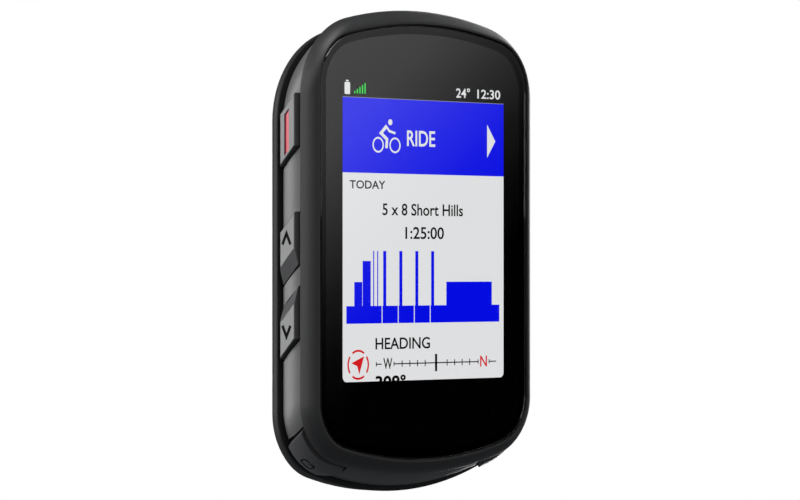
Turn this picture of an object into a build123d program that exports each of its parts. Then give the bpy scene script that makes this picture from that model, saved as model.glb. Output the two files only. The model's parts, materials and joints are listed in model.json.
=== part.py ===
from build123d import *
import os
from math import cos, pi, radians, sin, sqrt, tan

# Handlebar cycling computer, in millimetres.
# +X is the rider's right, +Z runs up the long side, and the screen faces -Y.
# The origin is the centre of the quarter-turn foot's flat seat, and the body is at Y below zero.

# Layers through the thickness, from the seat forward
SEAT_Y = 0.0
BACK_Y = -4.2
REAR_RIM_Y = -12.1
BAND_REAR_Y = -12.7
BAND_FRONT_Y = -17.15
FRONT_Y = -19.6

# Walls and floors
REAR_FLOOR = 1.8
REAR_WALL = 2.3
REAR_RIM = 4.0
REAR_RIM_SET = 1.5
REAR_RIM_REACH = 3.0
REAR_RIM_FLARE = 0.5
REAR_TURN_Y = -11.85
REAR_TURN_R = 2.6
REAR_SLOPE = 35.0
REAR_BOTTOM_R = 5.0
REAR_SECTION_STEP = 0.7
REAR_SECTIONS = 12
SCREW_TUBE_R = 2.9
SCREW_BORE_R = 1.1
SCREW_SINK_R = 2.0
CASE_SCREW_Y = -7.7
LENS_SET = 0.1
LENS_THICKNESS = 0.7
LENS_BACK_Y = FRONT_Y + LENS_SET + LENS_THICKNESS
LENS_CHAMFER = 0.15
LENS_GAP = 0.3
LENS_LEDGE = 1.5
LENS_RIM = 0.65
BEZEL_TURN = 1.2
ADHESIVE = 0.2
ADHESIVE_INSET = 0.2

# Outlines: half width, top, top arc, top corner, bottom, bottom arc, bottom corner
LENS = (25.5, 39.6, 80.0, 9.0, -36.45, 75.0, 8.0)
BEZEL = (28.2, 42.35, 76.0, 14.0, -39.4, 78.0, 11.0)
REAR = (28.9, 40.2, 76.0, 16.5, -42.5, 61.0, 12.0)
BAND_FRONT = (27.5, 41.6, 76.0, 14.0, -38.8, 78.0, 11.0)
BAND_REAR = (28.0, 39.3, 75.0, 15.6, -41.5, 61.0, 11.4)
CAVITY = (24.4, 36.8, 72.0, 11.0, -36.2, 64.0, 8.0)
BAND_CROWN = 0.35

# Side keys
KEY_FACE_X = BEZEL[0] + 0.7
KEY_CAP = 1.6
KEY_LENGTH = 9.0
KEY_SLANT = 3.6
KEY_FRONT_Y = -16.45
KEY_REAR_Y = -12.75
KEY_GAP = 0.25
KEY_TRAVEL = 0.45
KEY_RIM_R = 0.22
POCKET_X = 26.6
FACET_LENGTH = 2.9
FACET_DROP = 0.9
POWER_TOP_Z = 27.0
UP_TOP_Z = 6.7
DOWN_TOP_Z = -6.05
STRIPE_TOP_Z = 24.4
STRIPE_LENGTH = 7.1
STRIPE_FRONT_Y = -15.04
STRIPE_WIDTH = 1.14
STRIPE_RECESS = 0.75
STRIPE_THICKNESS = 0.5

# Stems, seals, clips and switches behind every key
STEM_R = 1.0
STEM_Y = -14.55
STEM_END_X = 23.6
STEM_CLEARANCE = 0.08
SEAL_R = 1.7
SEAL_THICKNESS = 0.8
CLIP_R = 1.65
CLIP_THICKNESS = 0.5
CLIP_GAP = 0.1
SWITCH_SIDE = 1.8
SWITCH_DEPTH = 1.5
SWITCH_GAP = 0.15

# Corner keys, set about the lower corners' centres
CORNER_X = 16.1
CORNER_Z = -25.9
CORNER_DIRECTION = 54.0
CORNER_PROUD = 0.75
CORNER_HALF = 5.9
CORNER_CAP = 1.5
CORNER_SLANT = 1.8
CORNER_FLARE = 0.5
CORNER_FLARE_DEPTH = 1.3
CORNER_GAP = 0.4
CORNER_GAP_SHARE = 1.4
CORNER_ROOM = 0.65
CORNER_POCKET_R = 10.6
CORNER_SEAL_R = 10.2
CORNER_SEAT_ABOVE = 1.8
CORNER_BORE_END_R = 5.5
CORNER_STEM_END_R = 7.0
CORNER_STEM_Y = -14.55

# Quarter-turn foot
FOOT_R = 12.7
TAB_R = 15.3
TAB_HALF_ANGLE = 21.0
TAB_THICKNESS = 1.9
FLANGE_R = 15.6
FLANGE_THICKNESS = 1.2
PAD_R = 17.0
PAD_THICKNESS = 1.4
PAD_BORE_R = 0.75
WELL_R = 6.5
WELL_DEPTH = 1.8
CONTACT_COUNT = 5
CONTACT_R = 0.55
CONTACT_PITCH = 2.1
FOOT_SCREW_R = 9.6
FOOT_SCREW_SET = 0.2
FOOT_SINK_R = 1.6
FOOT_SINK_DEPTH = 1.5
FOOT_BORE_R = 0.95
TAB_CORNER_R = 1.2
CONTACT_BLOCK_THICKNESS = 0.9
CONTACT_STAND = 1.2
CONTACT_DOME_R = 0.25

# Port and its cap, in the lower edge
PORT_Y = -9.0
PORT_WIDTH = 8.94
PORT_HEIGHT = 3.16
PORT_LENGTH = 7.3
PORT_MOUTH_Z = -39.7
PORT_WALL = 0.3
PORT_ROOM = (PORT_WIDTH + 2.4, 4.4, 2.0, 2.2)
TONGUE = (6.6, 0.7, 5.4)
TONGUE_SET = 0.7
CAP_HALF = 7.5
CAP_FRONT_Y = -11.35
CAP_THICKNESS = 1.25
CAP_PIVOT_Y = -6.9
CAP_PIVOT_Z = -40.95
CAP_BARREL_R = 0.6
CAP_BARREL_HALF = 8.6
CAP_GAP = 0.15
PLUG = (10.2, 2.5, 1.1)
CAP_GROOVES = 9
CAP_GROOVE_PITCH = 1.5

# Gasket between the band and the rear shell: how far its edges stand in
GASKET_OUT = 1.7
GASKET_IN = 2.8

# Inside
PANEL = (43.4, 57.0, 1.3)
PANEL_MID_Z = 2.6
PANEL_CORNER = 1.0
BACKLIGHT = 1.0
BACKLIGHT_SHORT = 4.0
FLEX_WIDTH = 14.0
FLEX_TAIL = 5.4
FLEX_LAP = 1.5
FLEX_THICKNESS = 0.15
SWITCH_FLEX_X = 21.33
CARRIER = (44.6, 64.6, 0.8)
CARRIER_MID_Z = 1.0
WALL_HEIGHT = 44.0
WALL_X = STEM_END_X - 2.8
WALL_BACK_Y = -13.0
POST_R = 1.6
POST_BORE_R = 0.6
POST_BORE_DEPTH = 3.0
BOARD_FRONT_Y = -11.4
BOARD_THICKNESS = 0.8
BOARD = (42.0, 66.0)
BOARD_MID_Z = -1.2
CAN_HEIGHT = 1.6
CAN_WALL = 0.2
SHIELD_CANS = ((-8.0, 14.0, 15.0, 12.0), (8.5, 11.0, 12.0, 16.0), (0.0, -8.0, 22.0, 13.0))
PATCH_ANTENNA = (15.0, 9.0, 3.2)
PATCH_ANTENNA_Z = 30.9
SOUND_HOLES = (7.8, 10.2)
SOUND_HOLE_R = 0.5
SOUND_X = 9.0
SOUND_Z = 24.0
BUZZER_R = 4.2
BUZZER_Z = 24.6
BUZZER_HEIGHT = 2.4
PAD_SIDE = 20.0
PAD_FOAM = 0.1
BATTERY = (34.0, 38.0, 2.9)
BATTERY_MID_Z = 0.0
CASE_SCREWS = ((17.5, 31.3), (-17.5, 31.3), (13.0, -32.6), (-13.0, -32.6))
BOARD_SCREWS = ((18.5, 22.0), (-18.5, 22.0), (18.5, -21.0), (-18.5, -21.0))
SENSOR_X = 16.1
SENSOR_Z = -29.05
SENSOR_SIDE = 2.2
SENSOR_WINDOW = 0.4
SENSOR_WINDOW_R = 0.8

# Screws: head radius, head height, shank radius, length
CASE_SCREW = (1.85, 1.25, 0.8, 7.0)
FOOT_SCREW = (1.5, 1.1, 0.7, 6.8)
BOARD_SCREW = (1.3, 0.7, 0.55, 3.2)
SOCKET_LOBES = 6
LOBE_SHARE = 0.32
LOBE_OUT_SHARE = 0.22
SOCKET_DEPTH_SHARE = 0.55
LUG_R = 2.3
LUG_THICKNESS = 2.6
LUG_REACH = 6.0
LUG_WEB = 3.4
LUG_BORE_R = 0.8
LUG_BORE_DEPTH = 2.0

# How far a cutting form runs past the face that it starts from
CLEAR = 1.0


def outline(size, grow=0.0):
    """Straight sides, wide arcs over the top and bottom, and rounded corners, moved out by grow."""
    half, top, top_arc, top_corner, bottom, bottom_arc, bottom_corner = size
    half += grow
    top += grow
    bottom -= grow
    top_arc += grow
    bottom_arc += grow
    shoulder = top - top_arc + sqrt(top_arc**2 - half**2)
    foot = bottom + bottom_arc - sqrt(bottom_arc**2 - half**2)
    edges = [
        ThreePointArc((-half, shoulder), (0, top), (half, shoulder)),
        Line((half, shoulder), (half, foot)),
        ThreePointArc((half, foot), (0, bottom), (-half, foot)),
        Line((-half, foot), (-half, shoulder)),
    ]
    face = make_face(edges)
    corners = face.vertices().sort_by(Axis.Y)
    face = fillet(corners[2:], radius=top_corner + grow)
    corners = face.vertices().sort_by(Axis.Y)
    return fillet(corners[:2], radius=bottom_corner + grow)


def between(first, second, share):
    """The outline sizes a share of the way from the first to the second."""
    return tuple(a + (b - a) * share for a, b in zip(first, second))


def at_depth(y):
    """The upright plane at depth y, seen from the screen side."""
    return Plane.XZ.offset(-y)


def slab(face, back_y, front_y):
    """A flat face drawn in X and Z, given thickness from back_y to front_y."""
    return extrude(at_depth(back_y) * face, amount=back_y - front_y)


def rod(radius, x, z, back_y, front_y):
    """A round rod that runs front to back."""
    return slab(Pos(x, z) * Circle(radius), back_y, front_y)


def plate(width, height, x, z, back_y, front_y, corner=0.6):
    """A flat block with rounded corners, seen from the screen side."""
    return slab(Pos(x, z) * RectangleRounded(width, height, corner), back_y, front_y)


def as_solid(shape):
    """The single solid left by a boolean."""
    solids = shape.solids().sort_by(SortBy.VOLUME)
    return solids[-1]


def band_form(grow=0.0):
    """The side band's outer form, slightly barrelled, as one solid."""
    middle = between(BAND_FRONT, BAND_REAR, 0.5)
    middle_y = (BAND_FRONT_Y + BAND_REAR_Y) / 2
    sections = [
        at_depth(BAND_FRONT_Y) * outline(BAND_FRONT, grow),
        at_depth(middle_y) * outline(middle, BAND_CROWN + grow),
        at_depth(BAND_REAR_Y) * outline(BAND_REAR, grow),
    ]
    return loft(sections)


# Keys


def slanted_prism(top_z, length, front_y, rear_y, outer_x, depth):
    """A block on the left side whose ends slant up towards the screen, like the keys."""
    slant = KEY_SLANT * (rear_y - front_y) / (KEY_REAR_Y - KEY_FRONT_Y)
    corners = [
        (front_y, top_z),
        (rear_y, top_z - slant),
        (rear_y, top_z - slant - length),
        (front_y, top_z - length),
    ]
    face = make_face(Polyline(*corners, close=True))
    return extrude(Plane.YZ.offset(-outer_x) * face, amount=depth)


def facet_wedge(end_z, crease_z):
    """What the sloping end facet takes off a key face, from its crease to its end."""
    run = Vector(0, KEY_REAR_Y - KEY_FRONT_Y, -KEY_SLANT)
    crease = Vector(-KEY_FACE_X, KEY_FRONT_Y, crease_z)
    end = Vector(-KEY_FACE_X + FACET_DROP, KEY_FRONT_Y, end_z)
    past_end = end + (end - crease)
    clear = Vector(-KEY_FACE_X - FACET_DROP, KEY_FRONT_Y, past_end.Z)
    face = make_face(Polyline(crease, past_end, clear, close=True))
    return extrude(face, amount=3 * run.length, dir=run.normalized(), both=True)


def side_key(top_z, facet=None):
    """A left-hand side key: slanted cap with an optional end facet, and its round stem."""
    cap = slanted_prism(top_z, KEY_LENGTH, KEY_FRONT_Y, KEY_REAR_Y, KEY_FACE_X, KEY_CAP)
    if facet == "lower":
        cap = cap - facet_wedge(top_z - KEY_LENGTH, top_z - KEY_LENGTH + FACET_LENGTH)
    if facet == "upper":
        cap = cap - facet_wedge(top_z, top_z - FACET_LENGTH)
    cap = as_solid(cap)
    rims = cap.edges().filter_by(lambda edge: edge.center().X < -KEY_FACE_X + 0.02)
    cap = fillet(rims, KEY_RIM_R)
    stem = Plane.YZ.offset(-STEM_END_X) * Pos(STEM_Y, stem_z(top_z)) * Circle(STEM_R)
    return as_solid(cap + extrude(stem, amount=STEM_END_X - KEY_FACE_X + KEY_CAP / 2))


def stem_z(top_z):
    """The height of a side key's stem, at the middle of its slanted cap."""
    return top_z - (KEY_LENGTH + KEY_SLANT) / 2


def side_tube(inner_r, outer_r, outer_x, depth, z):
    """A ring about a left-hand stem, or a disc when inner_r is 0."""
    ring = Circle(outer_r)
    if inner_r > 0:
        ring = ring - Circle(inner_r)
    return extrude(Plane.YZ.offset(-outer_x) * Pos(STEM_Y, z) * ring, amount=depth)


def side_pocket(top_z):
    """The room for a left-hand key in the band: cap pocket, seal seat and stem bore."""
    pocket = slanted_prism(
        top_z + KEY_GAP,
        KEY_LENGTH + 2 * KEY_GAP,
        KEY_FRONT_Y - KEY_GAP,
        BAND_REAR_Y + CLEAR,
        KEY_FACE_X + CLEAR,
        KEY_FACE_X + CLEAR - POCKET_X,
    )
    z = stem_z(top_z)
    seat = side_tube(0, SEAL_R, POCKET_X + 0.1, SEAL_THICKNESS + 0.1, z)
    bore = side_tube(0, STEM_R + STEM_CLEARANCE, POCKET_X, POCKET_X - CAVITY[0] + CLEAR, z)
    return pocket + seat + bore


def corner_plane(radius):
    """A plane across the left-hand lower corner key's push, at a radius from the corner's centre."""
    angle = radians(CORNER_DIRECTION)
    outward = Vector(-cos(angle), 0, -sin(angle))
    centre = Vector(-CORNER_X, CORNER_STEM_Y, CORNER_Z)
    return Plane(origin=centre + outward * radius, x_dir=(sin(angle), 0, -cos(angle)), z_dir=outward)


def corner_block(gap=0.0):
    """The prism that bounds the left-hand corner key, with slanted ends, widened by gap."""
    front = KEY_FRONT_Y - CORNER_STEM_Y - gap
    rear = KEY_REAR_Y - CORNER_STEM_Y + gap
    half = CORNER_HALF + gap * CORNER_GAP_SHARE
    corners = [
        (-half, -front),
        (half, -front),
        (half + CORNER_FLARE, -front - CORNER_FLARE_DEPTH),
        (half - CORNER_SLANT, -rear),
        (-half + CORNER_SLANT, -rear),
    ]
    face = make_face(Polyline(*corners, close=True))
    return extrude(corner_plane(0) * face, amount=REAR[0])


def corner_key():
    """The left-hand lower corner key: a curved cap that follows the corner, and its stem."""
    shell = band_form(CORNER_PROUD) - band_form(CORNER_PROUD - CORNER_CAP)
    cap = as_solid(shell & corner_block())
    stem = corner_plane(CORNER_STEM_END_R) * Circle(STEM_R)
    stem = extrude(stem, amount=CORNER_POCKET_R + 1.6 - CORNER_STEM_END_R)
    return as_solid(cap + stem)


def corner_tube(inner_r, outer_r, outer_radius, depth):
    """A ring about the corner key's stem, below outer_radius, or a disc when inner_r is 0."""
    ring = Circle(outer_r)
    if inner_r > 0:
        ring = ring - Circle(inner_r)
    return extrude(corner_plane(outer_radius - depth) * ring, amount=depth)


def corner_pocket():
    """The room for the corner key in the band: cap pocket, seal seat and stem bore."""
    outer = corner_block(CORNER_GAP) & band_form(3.0)
    pocket = outer - band_form(CORNER_PROUD - CORNER_CAP - CORNER_ROOM)
    seat = corner_tube(0, SEAL_R, CORNER_SEAL_R + CORNER_SEAT_ABOVE, SEAL_THICKNESS + CORNER_SEAT_ABOVE)
    bore = corner_tube(0, STEM_R + STEM_CLEARANCE, CORNER_SEAL_R, CORNER_SEAL_R - CORNER_BORE_END_R)
    return pocket + seat + bore


def mirrored(shape):
    """The same piece on the other side."""
    return mirror(shape, about=Plane.YZ)


# Housing


def front_bezel():
    """Front frame: it curves from the lens edge out to the side, with a ledge for the lens."""
    sections = [
        at_depth(BAND_FRONT_Y) * outline(BEZEL),
        at_depth(BAND_FRONT_Y - BEZEL_TURN) * outline(between(LENS, BEZEL, 0.8)),
        at_depth(FRONT_Y) * outline(LENS, LENS_RIM),
    ]
    form = loft(sections)
    pocket = slab(outline(LENS, LENS_GAP), LENS_BACK_Y + ADHESIVE, FRONT_Y - CLEAR)
    opening = slab(outline(LENS, -LENS_LEDGE), BAND_FRONT_Y + CLEAR, FRONT_Y)
    return as_solid(form - pocket - opening)


def front_lens():
    """Chemically hardened cover glass with a small edge chamfer."""
    glass = slab(outline(LENS), LENS_BACK_Y, FRONT_Y + LENS_SET)
    rim = glass.faces().sort_by(Axis.Y)[0].edges()
    return as_solid(chamfer(rim, LENS_CHAMFER))


def lens_adhesive():
    """Gasket tape that bonds the lens to the bezel's ledge."""
    ring = outline(LENS, -ADHESIVE_INSET) - outline(LENS, -LENS_LEDGE)
    return as_solid(slab(ring, LENS_BACK_Y + ADHESIVE, LENS_BACK_Y))


def screw_lug(x, z):
    """A lug that a case screw bites into, webbed out to the nearest wall."""
    front = BAND_REAR_Y - LUG_THICKNESS
    end = z + LUG_REACH / 2 if z > 0 else z - LUG_REACH / 2
    web = plate(LUG_WEB, LUG_REACH, x, end, BAND_REAR_Y, front, 0.4)
    return rod(LUG_R, x, z, BAND_REAR_Y, front) + web


def mid_housing():
    """Side band: the ring that holds every key, the screw lugs and the display carrier's ledges."""
    form = band_form()
    ring = form - slab(outline(CAVITY), BAND_REAR_Y + CLEAR, BAND_FRONT_Y - CLEAR)
    for x, z in CASE_SCREWS:
        ring = ring + (screw_lug(x, z) & form)
    for x, z in CASE_SCREWS:
        ring = ring - rod(LUG_BORE_R, x, z, BAND_REAR_Y + CLEAR, BAND_REAR_Y - LUG_BORE_DEPTH)
    for top_z in (POWER_TOP_Z, UP_TOP_Z, DOWN_TOP_Z):
        ring = ring - side_pocket(top_z)
    for top_z in (UP_TOP_Z, DOWN_TOP_Z):
        ring = ring - mirrored(side_pocket(top_z))
    ring = ring - corner_pocket()
    ring = ring - mirrored(corner_pocket())
    return as_solid(ring)


def side_inset(y):
    """How far the rear shell's sides and top stand in at depth y: a rounded rim, then a straight slope."""
    straight_y = REAR_TURN_Y + REAR_TURN_R * cos(radians(REAR_SLOPE))
    if y <= REAR_TURN_Y:
        return REAR_RIM_FLARE * (REAR_TURN_Y - y)
    if y <= straight_y:
        return REAR_TURN_R - sqrt(REAR_TURN_R**2 - (y - REAR_TURN_Y) ** 2)
    at_turn = REAR_TURN_R * (1 - sin(radians(REAR_SLOPE)))
    return at_turn + (y - straight_y) / tan(radians(REAR_SLOPE))


def bottom_inset(y):
    """How far the rear shell's lower edge stands in at depth y: deep, then rounded over."""
    round_y = BACK_Y - REAR_BOTTOM_R
    if y <= REAR_TURN_Y:
        return REAR_RIM_FLARE * (REAR_TURN_Y - y)
    if y <= round_y:
        return 0.0
    return REAR_BOTTOM_R - sqrt(REAR_BOTTOM_R**2 - (y - round_y) ** 2)


def rear_form(inward=0.0, forward=0.0):
    """The rear shell's outer form, or the same form moved inward and forward for the hollow."""
    half, top, top_arc, top_corner, bottom, bottom_arc, bottom_corner = REAR
    depths = [BACK_Y - REAR_SECTION_STEP * step for step in range(REAR_SECTIONS)]
    sections = []
    for y in [REAR_RIM_Y] + depths[::-1]:
        side = side_inset(y)
        low = bottom_inset(y)
        size = (
            half - side,
            top - side,
            top_arc - side,
            top_corner - 0.8 * side,
            bottom + low,
            bottom_arc - low,
            bottom_corner - 0.5 * side,
        )
        sections.append(at_depth(y - forward) * outline(size, -inward))
    return as_solid(loft(sections))


def cap_room():
    """The room that the port's cap and its hinge take out of the rear shell."""
    width = 2 * CAP_HALF + 2 * CAP_GAP
    depth = CAP_PIVOT_Y - CAP_FRONT_Y + CAP_GAP
    middle_y = (CAP_PIVOT_Y + CAP_FRONT_Y - CAP_GAP) / 2
    recess_top = REAR[4] + CAP_THICKNESS + 0.05
    recess = Pos(0, middle_y, recess_top - 5.0) * Box(width, depth, 10.0)
    plug_hole = Pos(0, -9.4, -40.0) * Box(11.4, 3.6, 6.0)
    relief = cross_rod(1.65, CAP_HALF + CAP_GAP)
    hinge = cross_rod(CAP_BARREL_R + 0.06, CAP_BARREL_HALF + 0.2)
    return recess + plug_hole + relief + hinge


def cross_rod(radius, half_length):
    """A rod along the cap's hinge line."""
    line = Plane.YZ.offset(-half_length) * Pos(CAP_PIVOT_Y, CAP_PIVOT_Z) * Circle(radius)
    return extrude(line, amount=2 * half_length)


def rear_housing():
    """Rear shell: tray with screw tubes, the pad under the foot and the port's opening."""
    shell = rear_form()
    floor_y = BACK_Y - REAR_FLOOR
    hollow = rear_form(REAR_WALL, REAR_FLOOR)
    rim = outline(REAR) - outline(REAR, -REAR_RIM)
    rim = slab(rim, REAR_RIM_Y + REAR_RIM_SET, REAR_RIM_Y - REAR_RIM_REACH)
    shell = shell - (hollow - rim)
    shell = shell + rod(PAD_R, 0, 0, floor_y + 0.2, floor_y - PAD_THICKNESS)
    for x, z in CASE_SCREWS:
        shell = shell + (rod(SCREW_TUBE_R, x, z, BACK_Y, REAR_RIM_Y) & rear_form())
    for x, z in CASE_SCREWS:
        shell = shell - rod(SCREW_BORE_R, x, z, BACK_Y + CLEAR, REAR_RIM_Y - CLEAR)
        shell = shell - rod(SCREW_SINK_R, x, z, BACK_Y + CLEAR, CASE_SCREW_Y - CASE_SCREW[1])
    shell = shell - rod(FLANGE_R + 0.1, 0, 0, BACK_Y + CLEAR, BACK_Y - FLANGE_THICKNESS)
    for x, z in foot_screw_places():
        shell = shell - rod(PAD_BORE_R, x, z, BACK_Y, floor_y - PAD_THICKNESS - CLEAR)
    for x in SOUND_HOLES:
        shell = shell - rod(SOUND_HOLE_R, x, SOUND_Z, BACK_Y + CLEAR, floor_y - CLEAR)
    width, height, behind, ahead = PORT_ROOM
    port_room_z = REAR[4] + REAR_WALL + height / 2
    shell = shell - plate(width, height, 0, port_room_z, PORT_Y + behind, PORT_Y - ahead, 0.3)
    shell = shell - cap_room()
    return as_solid(shell)


def case_seal():
    """Rubber gasket between the side band and the rear shell."""
    ring = outline(BAND_REAR, -GASKET_OUT) - outline(BAND_REAR, -GASKET_IN)
    return as_solid(slab(ring, REAR_RIM_Y, BAND_REAR_Y))


def screw(x, z, head_y, size):
    """A pan-head screw seen from behind, with a six-lobed socket."""
    head_r, head_height, shank_r, length = size
    form = rod(head_r, x, z, head_y, head_y - head_height)
    form = form + rod(shank_r, x, z, head_y - head_height, head_y - length)
    out = LOBE_OUT_SHARE * head_r
    socket_y = head_y - SOCKET_DEPTH_SHARE * head_height
    for lobe in range(SOCKET_LOBES):
        turn = 2 * pi * lobe / SOCKET_LOBES
        lobe_x = x + out * cos(turn)
        lobe_z = z + out * sin(turn)
        form = form - rod(LOBE_SHARE * head_r, lobe_x, lobe_z, head_y, socket_y)
    return as_solid(form)


def case_screws():
    """Four screws that close the rear shell onto the side band."""
    return Compound([screw(x, z, CASE_SCREW_Y, CASE_SCREW) for x, z in CASE_SCREWS])


# Quarter-turn foot


def foot_screw_places():
    """Centres of the four screws that hold the foot."""
    turns = [radians(45 + 90 * turn) for turn in range(4)]
    return [(FOOT_SCREW_R * cos(turn), FOOT_SCREW_R * sin(turn)) for turn in turns]


def foot_tab(middle):
    """One bayonet tab about the middle angle, with rounded ends."""
    start = radians(middle - TAB_HALF_ANGLE)
    end = radians(middle + TAB_HALF_ANGLE)
    reach = 2 * TAB_R
    wedge = Polyline((0, 0), (reach * cos(start), reach * sin(start)), (reach * cos(end), reach * sin(end)),
                     close=True)
    tab = slab(Circle(TAB_R) & make_face(wedge), SEAT_Y, SEAT_Y - TAB_THICKNESS)
    ends = tab.edges().filter_by(Axis.Y).sort_by(lambda edge: edge.center().X**2 + edge.center().Z**2)[-2:]
    return fillet(ends, TAB_CORNER_R)


def mount_insert():
    """Bayonet foot: flange let into the back, hub, two tabs and the contacts' well."""
    foot = rod(FLANGE_R, 0, 0, BACK_Y, BACK_Y - FLANGE_THICKNESS)
    foot = foot + rod(FOOT_R, 0, 0, SEAT_Y, BACK_Y - 0.5)
    foot = foot + foot_tab(90) + foot_tab(270)
    foot = foot - rod(WELL_R, 0, 0, SEAT_Y + CLEAR, SEAT_Y - WELL_DEPTH)
    through_y = BACK_Y - FLANGE_THICKNESS - CLEAR
    for x, z in foot_screw_places():
        foot = foot - rod(FOOT_SINK_R, x, z, SEAT_Y + CLEAR, SEAT_Y - FOOT_SINK_DEPTH)
        foot = foot - rod(FOOT_BORE_R, x, z, SEAT_Y, through_y)
    for place in range(CONTACT_COUNT):
        foot = foot - rod(CONTACT_R + 0.05, contact_x(place), 0, SEAT_Y, through_y)
    return as_solid(foot)


def contact_x(place):
    """Place of one charging contact along the row."""
    return CONTACT_PITCH * (place - (CONTACT_COUNT - 1) / 2)


def contact_block():
    """Insulating disc that holds the charging contacts in the foot's well."""
    well_floor = SEAT_Y - WELL_DEPTH
    disc = rod(WELL_R - 0.1, 0, 0, well_floor + CONTACT_BLOCK_THICKNESS, well_floor)
    for place in range(CONTACT_COUNT):
        disc = disc - rod(CONTACT_R, contact_x(place), 0, SEAT_Y, well_floor)
    return as_solid(disc)


def contact_pins():
    """Five gold-plated charging contacts with domed ends."""
    pins = []
    tip_y = SEAT_Y - WELL_DEPTH + CONTACT_STAND
    for place in range(CONTACT_COUNT):
        pin = rod(CONTACT_R - 0.02, contact_x(place), 0, tip_y, BACK_Y - FLANGE_THICKNESS)
        tip = pin.faces().sort_by(Axis.Y)[-1].edges()
        pins.append(as_solid(fillet(tip, CONTACT_DOME_R)))
    return Compound(pins)


def mount_screws():
    """Four screws that hold the foot to the rear shell's pad."""
    return Compound([screw(x, z, SEAT_Y - FOOT_SCREW_SET, FOOT_SCREW) for x, z in foot_screw_places()])


# Display


def display_panel():
    """Colour display glass, bonded to the back of the lens."""
    width, height, depth = PANEL
    return plate(width, height, 0, PANEL_MID_Z, LENS_BACK_Y + depth, LENS_BACK_Y, PANEL_CORNER)


def backlight():
    """Light guide behind the display."""
    width, height, depth = PANEL
    front = LENS_BACK_Y + depth
    middle_z = PANEL_MID_Z + BACKLIGHT_SHORT / 2
    return plate(width, height - BACKLIGHT_SHORT, 0, middle_z, front + BACKLIGHT, front, PANEL_CORNER)


def carrier_front():
    """Depth of the carrier's front face, behind the backlight."""
    return LENS_BACK_Y + PANEL[2] + BACKLIGHT


def display_carrier():
    """Stamped plate behind the display, with walls that back the switches and posts for the board."""
    width, height, depth = CARRIER
    front = carrier_front()
    form = plate(width, height, 0, CARRIER_MID_Z, front + depth, front, 6.0)
    back = front + depth + CLEAR
    form = form - plate(26.0, 40.0, 0, CARRIER_MID_Z, back, front - CLEAR, 3.0)
    form = form - plate(FLEX_WIDTH + 1.0, 8.0, 0, CARRIER_MID_Z - height / 2, back, front - CLEAR, 1.0)
    for side in (-1, 1):
        form = form + plate(depth, WALL_HEIGHT, side * WALL_X, 5.0, WALL_BACK_Y, front + depth / 2, 0.2)
    for x, z in BOARD_SCREWS:
        form = form + rod(POST_R, x, z, BOARD_FRONT_Y, front + depth / 2)
    for x, z in BOARD_SCREWS:
        form = form - rod(POST_BORE_R, x, z, BOARD_FRONT_Y + CLEAR, BOARD_FRONT_Y - POST_BORE_DEPTH)
    return as_solid(form)


def display_flex():
    """Folded flexible circuit from the display's lower edge back to the main board."""
    front = LENS_BACK_Y + PANEL[2]
    tail_z = PANEL_MID_Z - PANEL[1] / 2 + FLEX_LAP - FLEX_TAIL / 2
    drop_z = tail_z - FLEX_TAIL / 2
    board_y = BOARD_FRONT_Y
    tail = plate(FLEX_WIDTH, FLEX_TAIL, 0, tail_z, front + FLEX_THICKNESS, front, 0.3)
    drop = plate(FLEX_WIDTH, FLEX_THICKNESS, 0, drop_z, board_y - FLEX_THICKNESS, front, 0.05)
    foot = plate(FLEX_WIDTH, FLEX_TAIL, 0, tail_z, board_y, board_y - FLEX_THICKNESS, 0.3)
    return as_solid(tail + drop + foot)


def light_sensor():
    """Ambient light sensor that looks out through the lens's printed border."""
    front = LENS_BACK_Y + SENSOR_WINDOW
    body = plate(SENSOR_SIDE, SENSOR_SIDE, SENSOR_X, SENSOR_Z, front + 1.0, front, 0.2)
    window = rod(SENSOR_WINDOW_R, SENSOR_X, SENSOR_Z, front + 0.1, LENS_BACK_Y)
    return as_solid(body + window)


# Electronics


def main_board():
    """Main circuit board, screwed to the carrier's posts and cut away for the case screws."""
    back = BOARD_FRONT_Y + BOARD_THICKNESS
    board = plate(BOARD[0], BOARD[1], 0, BOARD_MID_Z, back, BOARD_FRONT_Y, 5.0)
    for x, z in BOARD_SCREWS:
        board = board - rod(0.9, x, z, back + CLEAR, BOARD_FRONT_Y - CLEAR)
    for x, z in CASE_SCREWS:
        board = board - rod(SCREW_TUBE_R + 0.2, x, z, back + CLEAR, BOARD_FRONT_Y - CLEAR)
    return as_solid(board)


def board_screws():
    """Four screws through the main board into the carrier's posts."""
    back = BOARD_FRONT_Y + BOARD_THICKNESS
    return Compound([screw(x, z, back + BOARD_SCREW[1], BOARD_SCREW) for x, z in BOARD_SCREWS])


def shield_cans():
    """Tinned steel cans over the processor, the radio and the satellite receiver."""
    cans = []
    lid_y = BOARD_FRONT_Y - CAN_HEIGHT
    for x, z, width, height in SHIELD_CANS:
        can = plate(width, height, x, z, BOARD_FRONT_Y, lid_y, 1.0)
        lid = can.faces().sort_by(Axis.Y)[0].edges()
        can = fillet(lid, 0.3)
        inner_width = width - 2 * CAN_WALL
        inner_height = height - 2 * CAN_WALL
        hollow = plate(inner_width, inner_height, x, z, BOARD_FRONT_Y + CLEAR, lid_y + CAN_WALL, 0.8)
        cans.append(as_solid(can - hollow))
    return Compound(cans)


def gnss_antenna():
    """Ceramic patch antenna under the top edge, clear of the metal parts."""
    width, height, depth = PATCH_ANTENNA
    block = plate(width, height, 0, PATCH_ANTENNA_Z, BOARD_FRONT_Y, BOARD_FRONT_Y - depth, 0.5)
    return as_solid(chamfer(block.faces().sort_by(Axis.Y)[0].edges(), 0.3))


def radio_antenna():
    """Bent strip antenna for the short-range radio, on the main board's lower left."""
    strip = plate(1.2, 14.0, -15.0, -12.0, BOARD_FRONT_Y, BOARD_FRONT_Y - 2.0, 0.2)
    return as_solid(strip)


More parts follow.
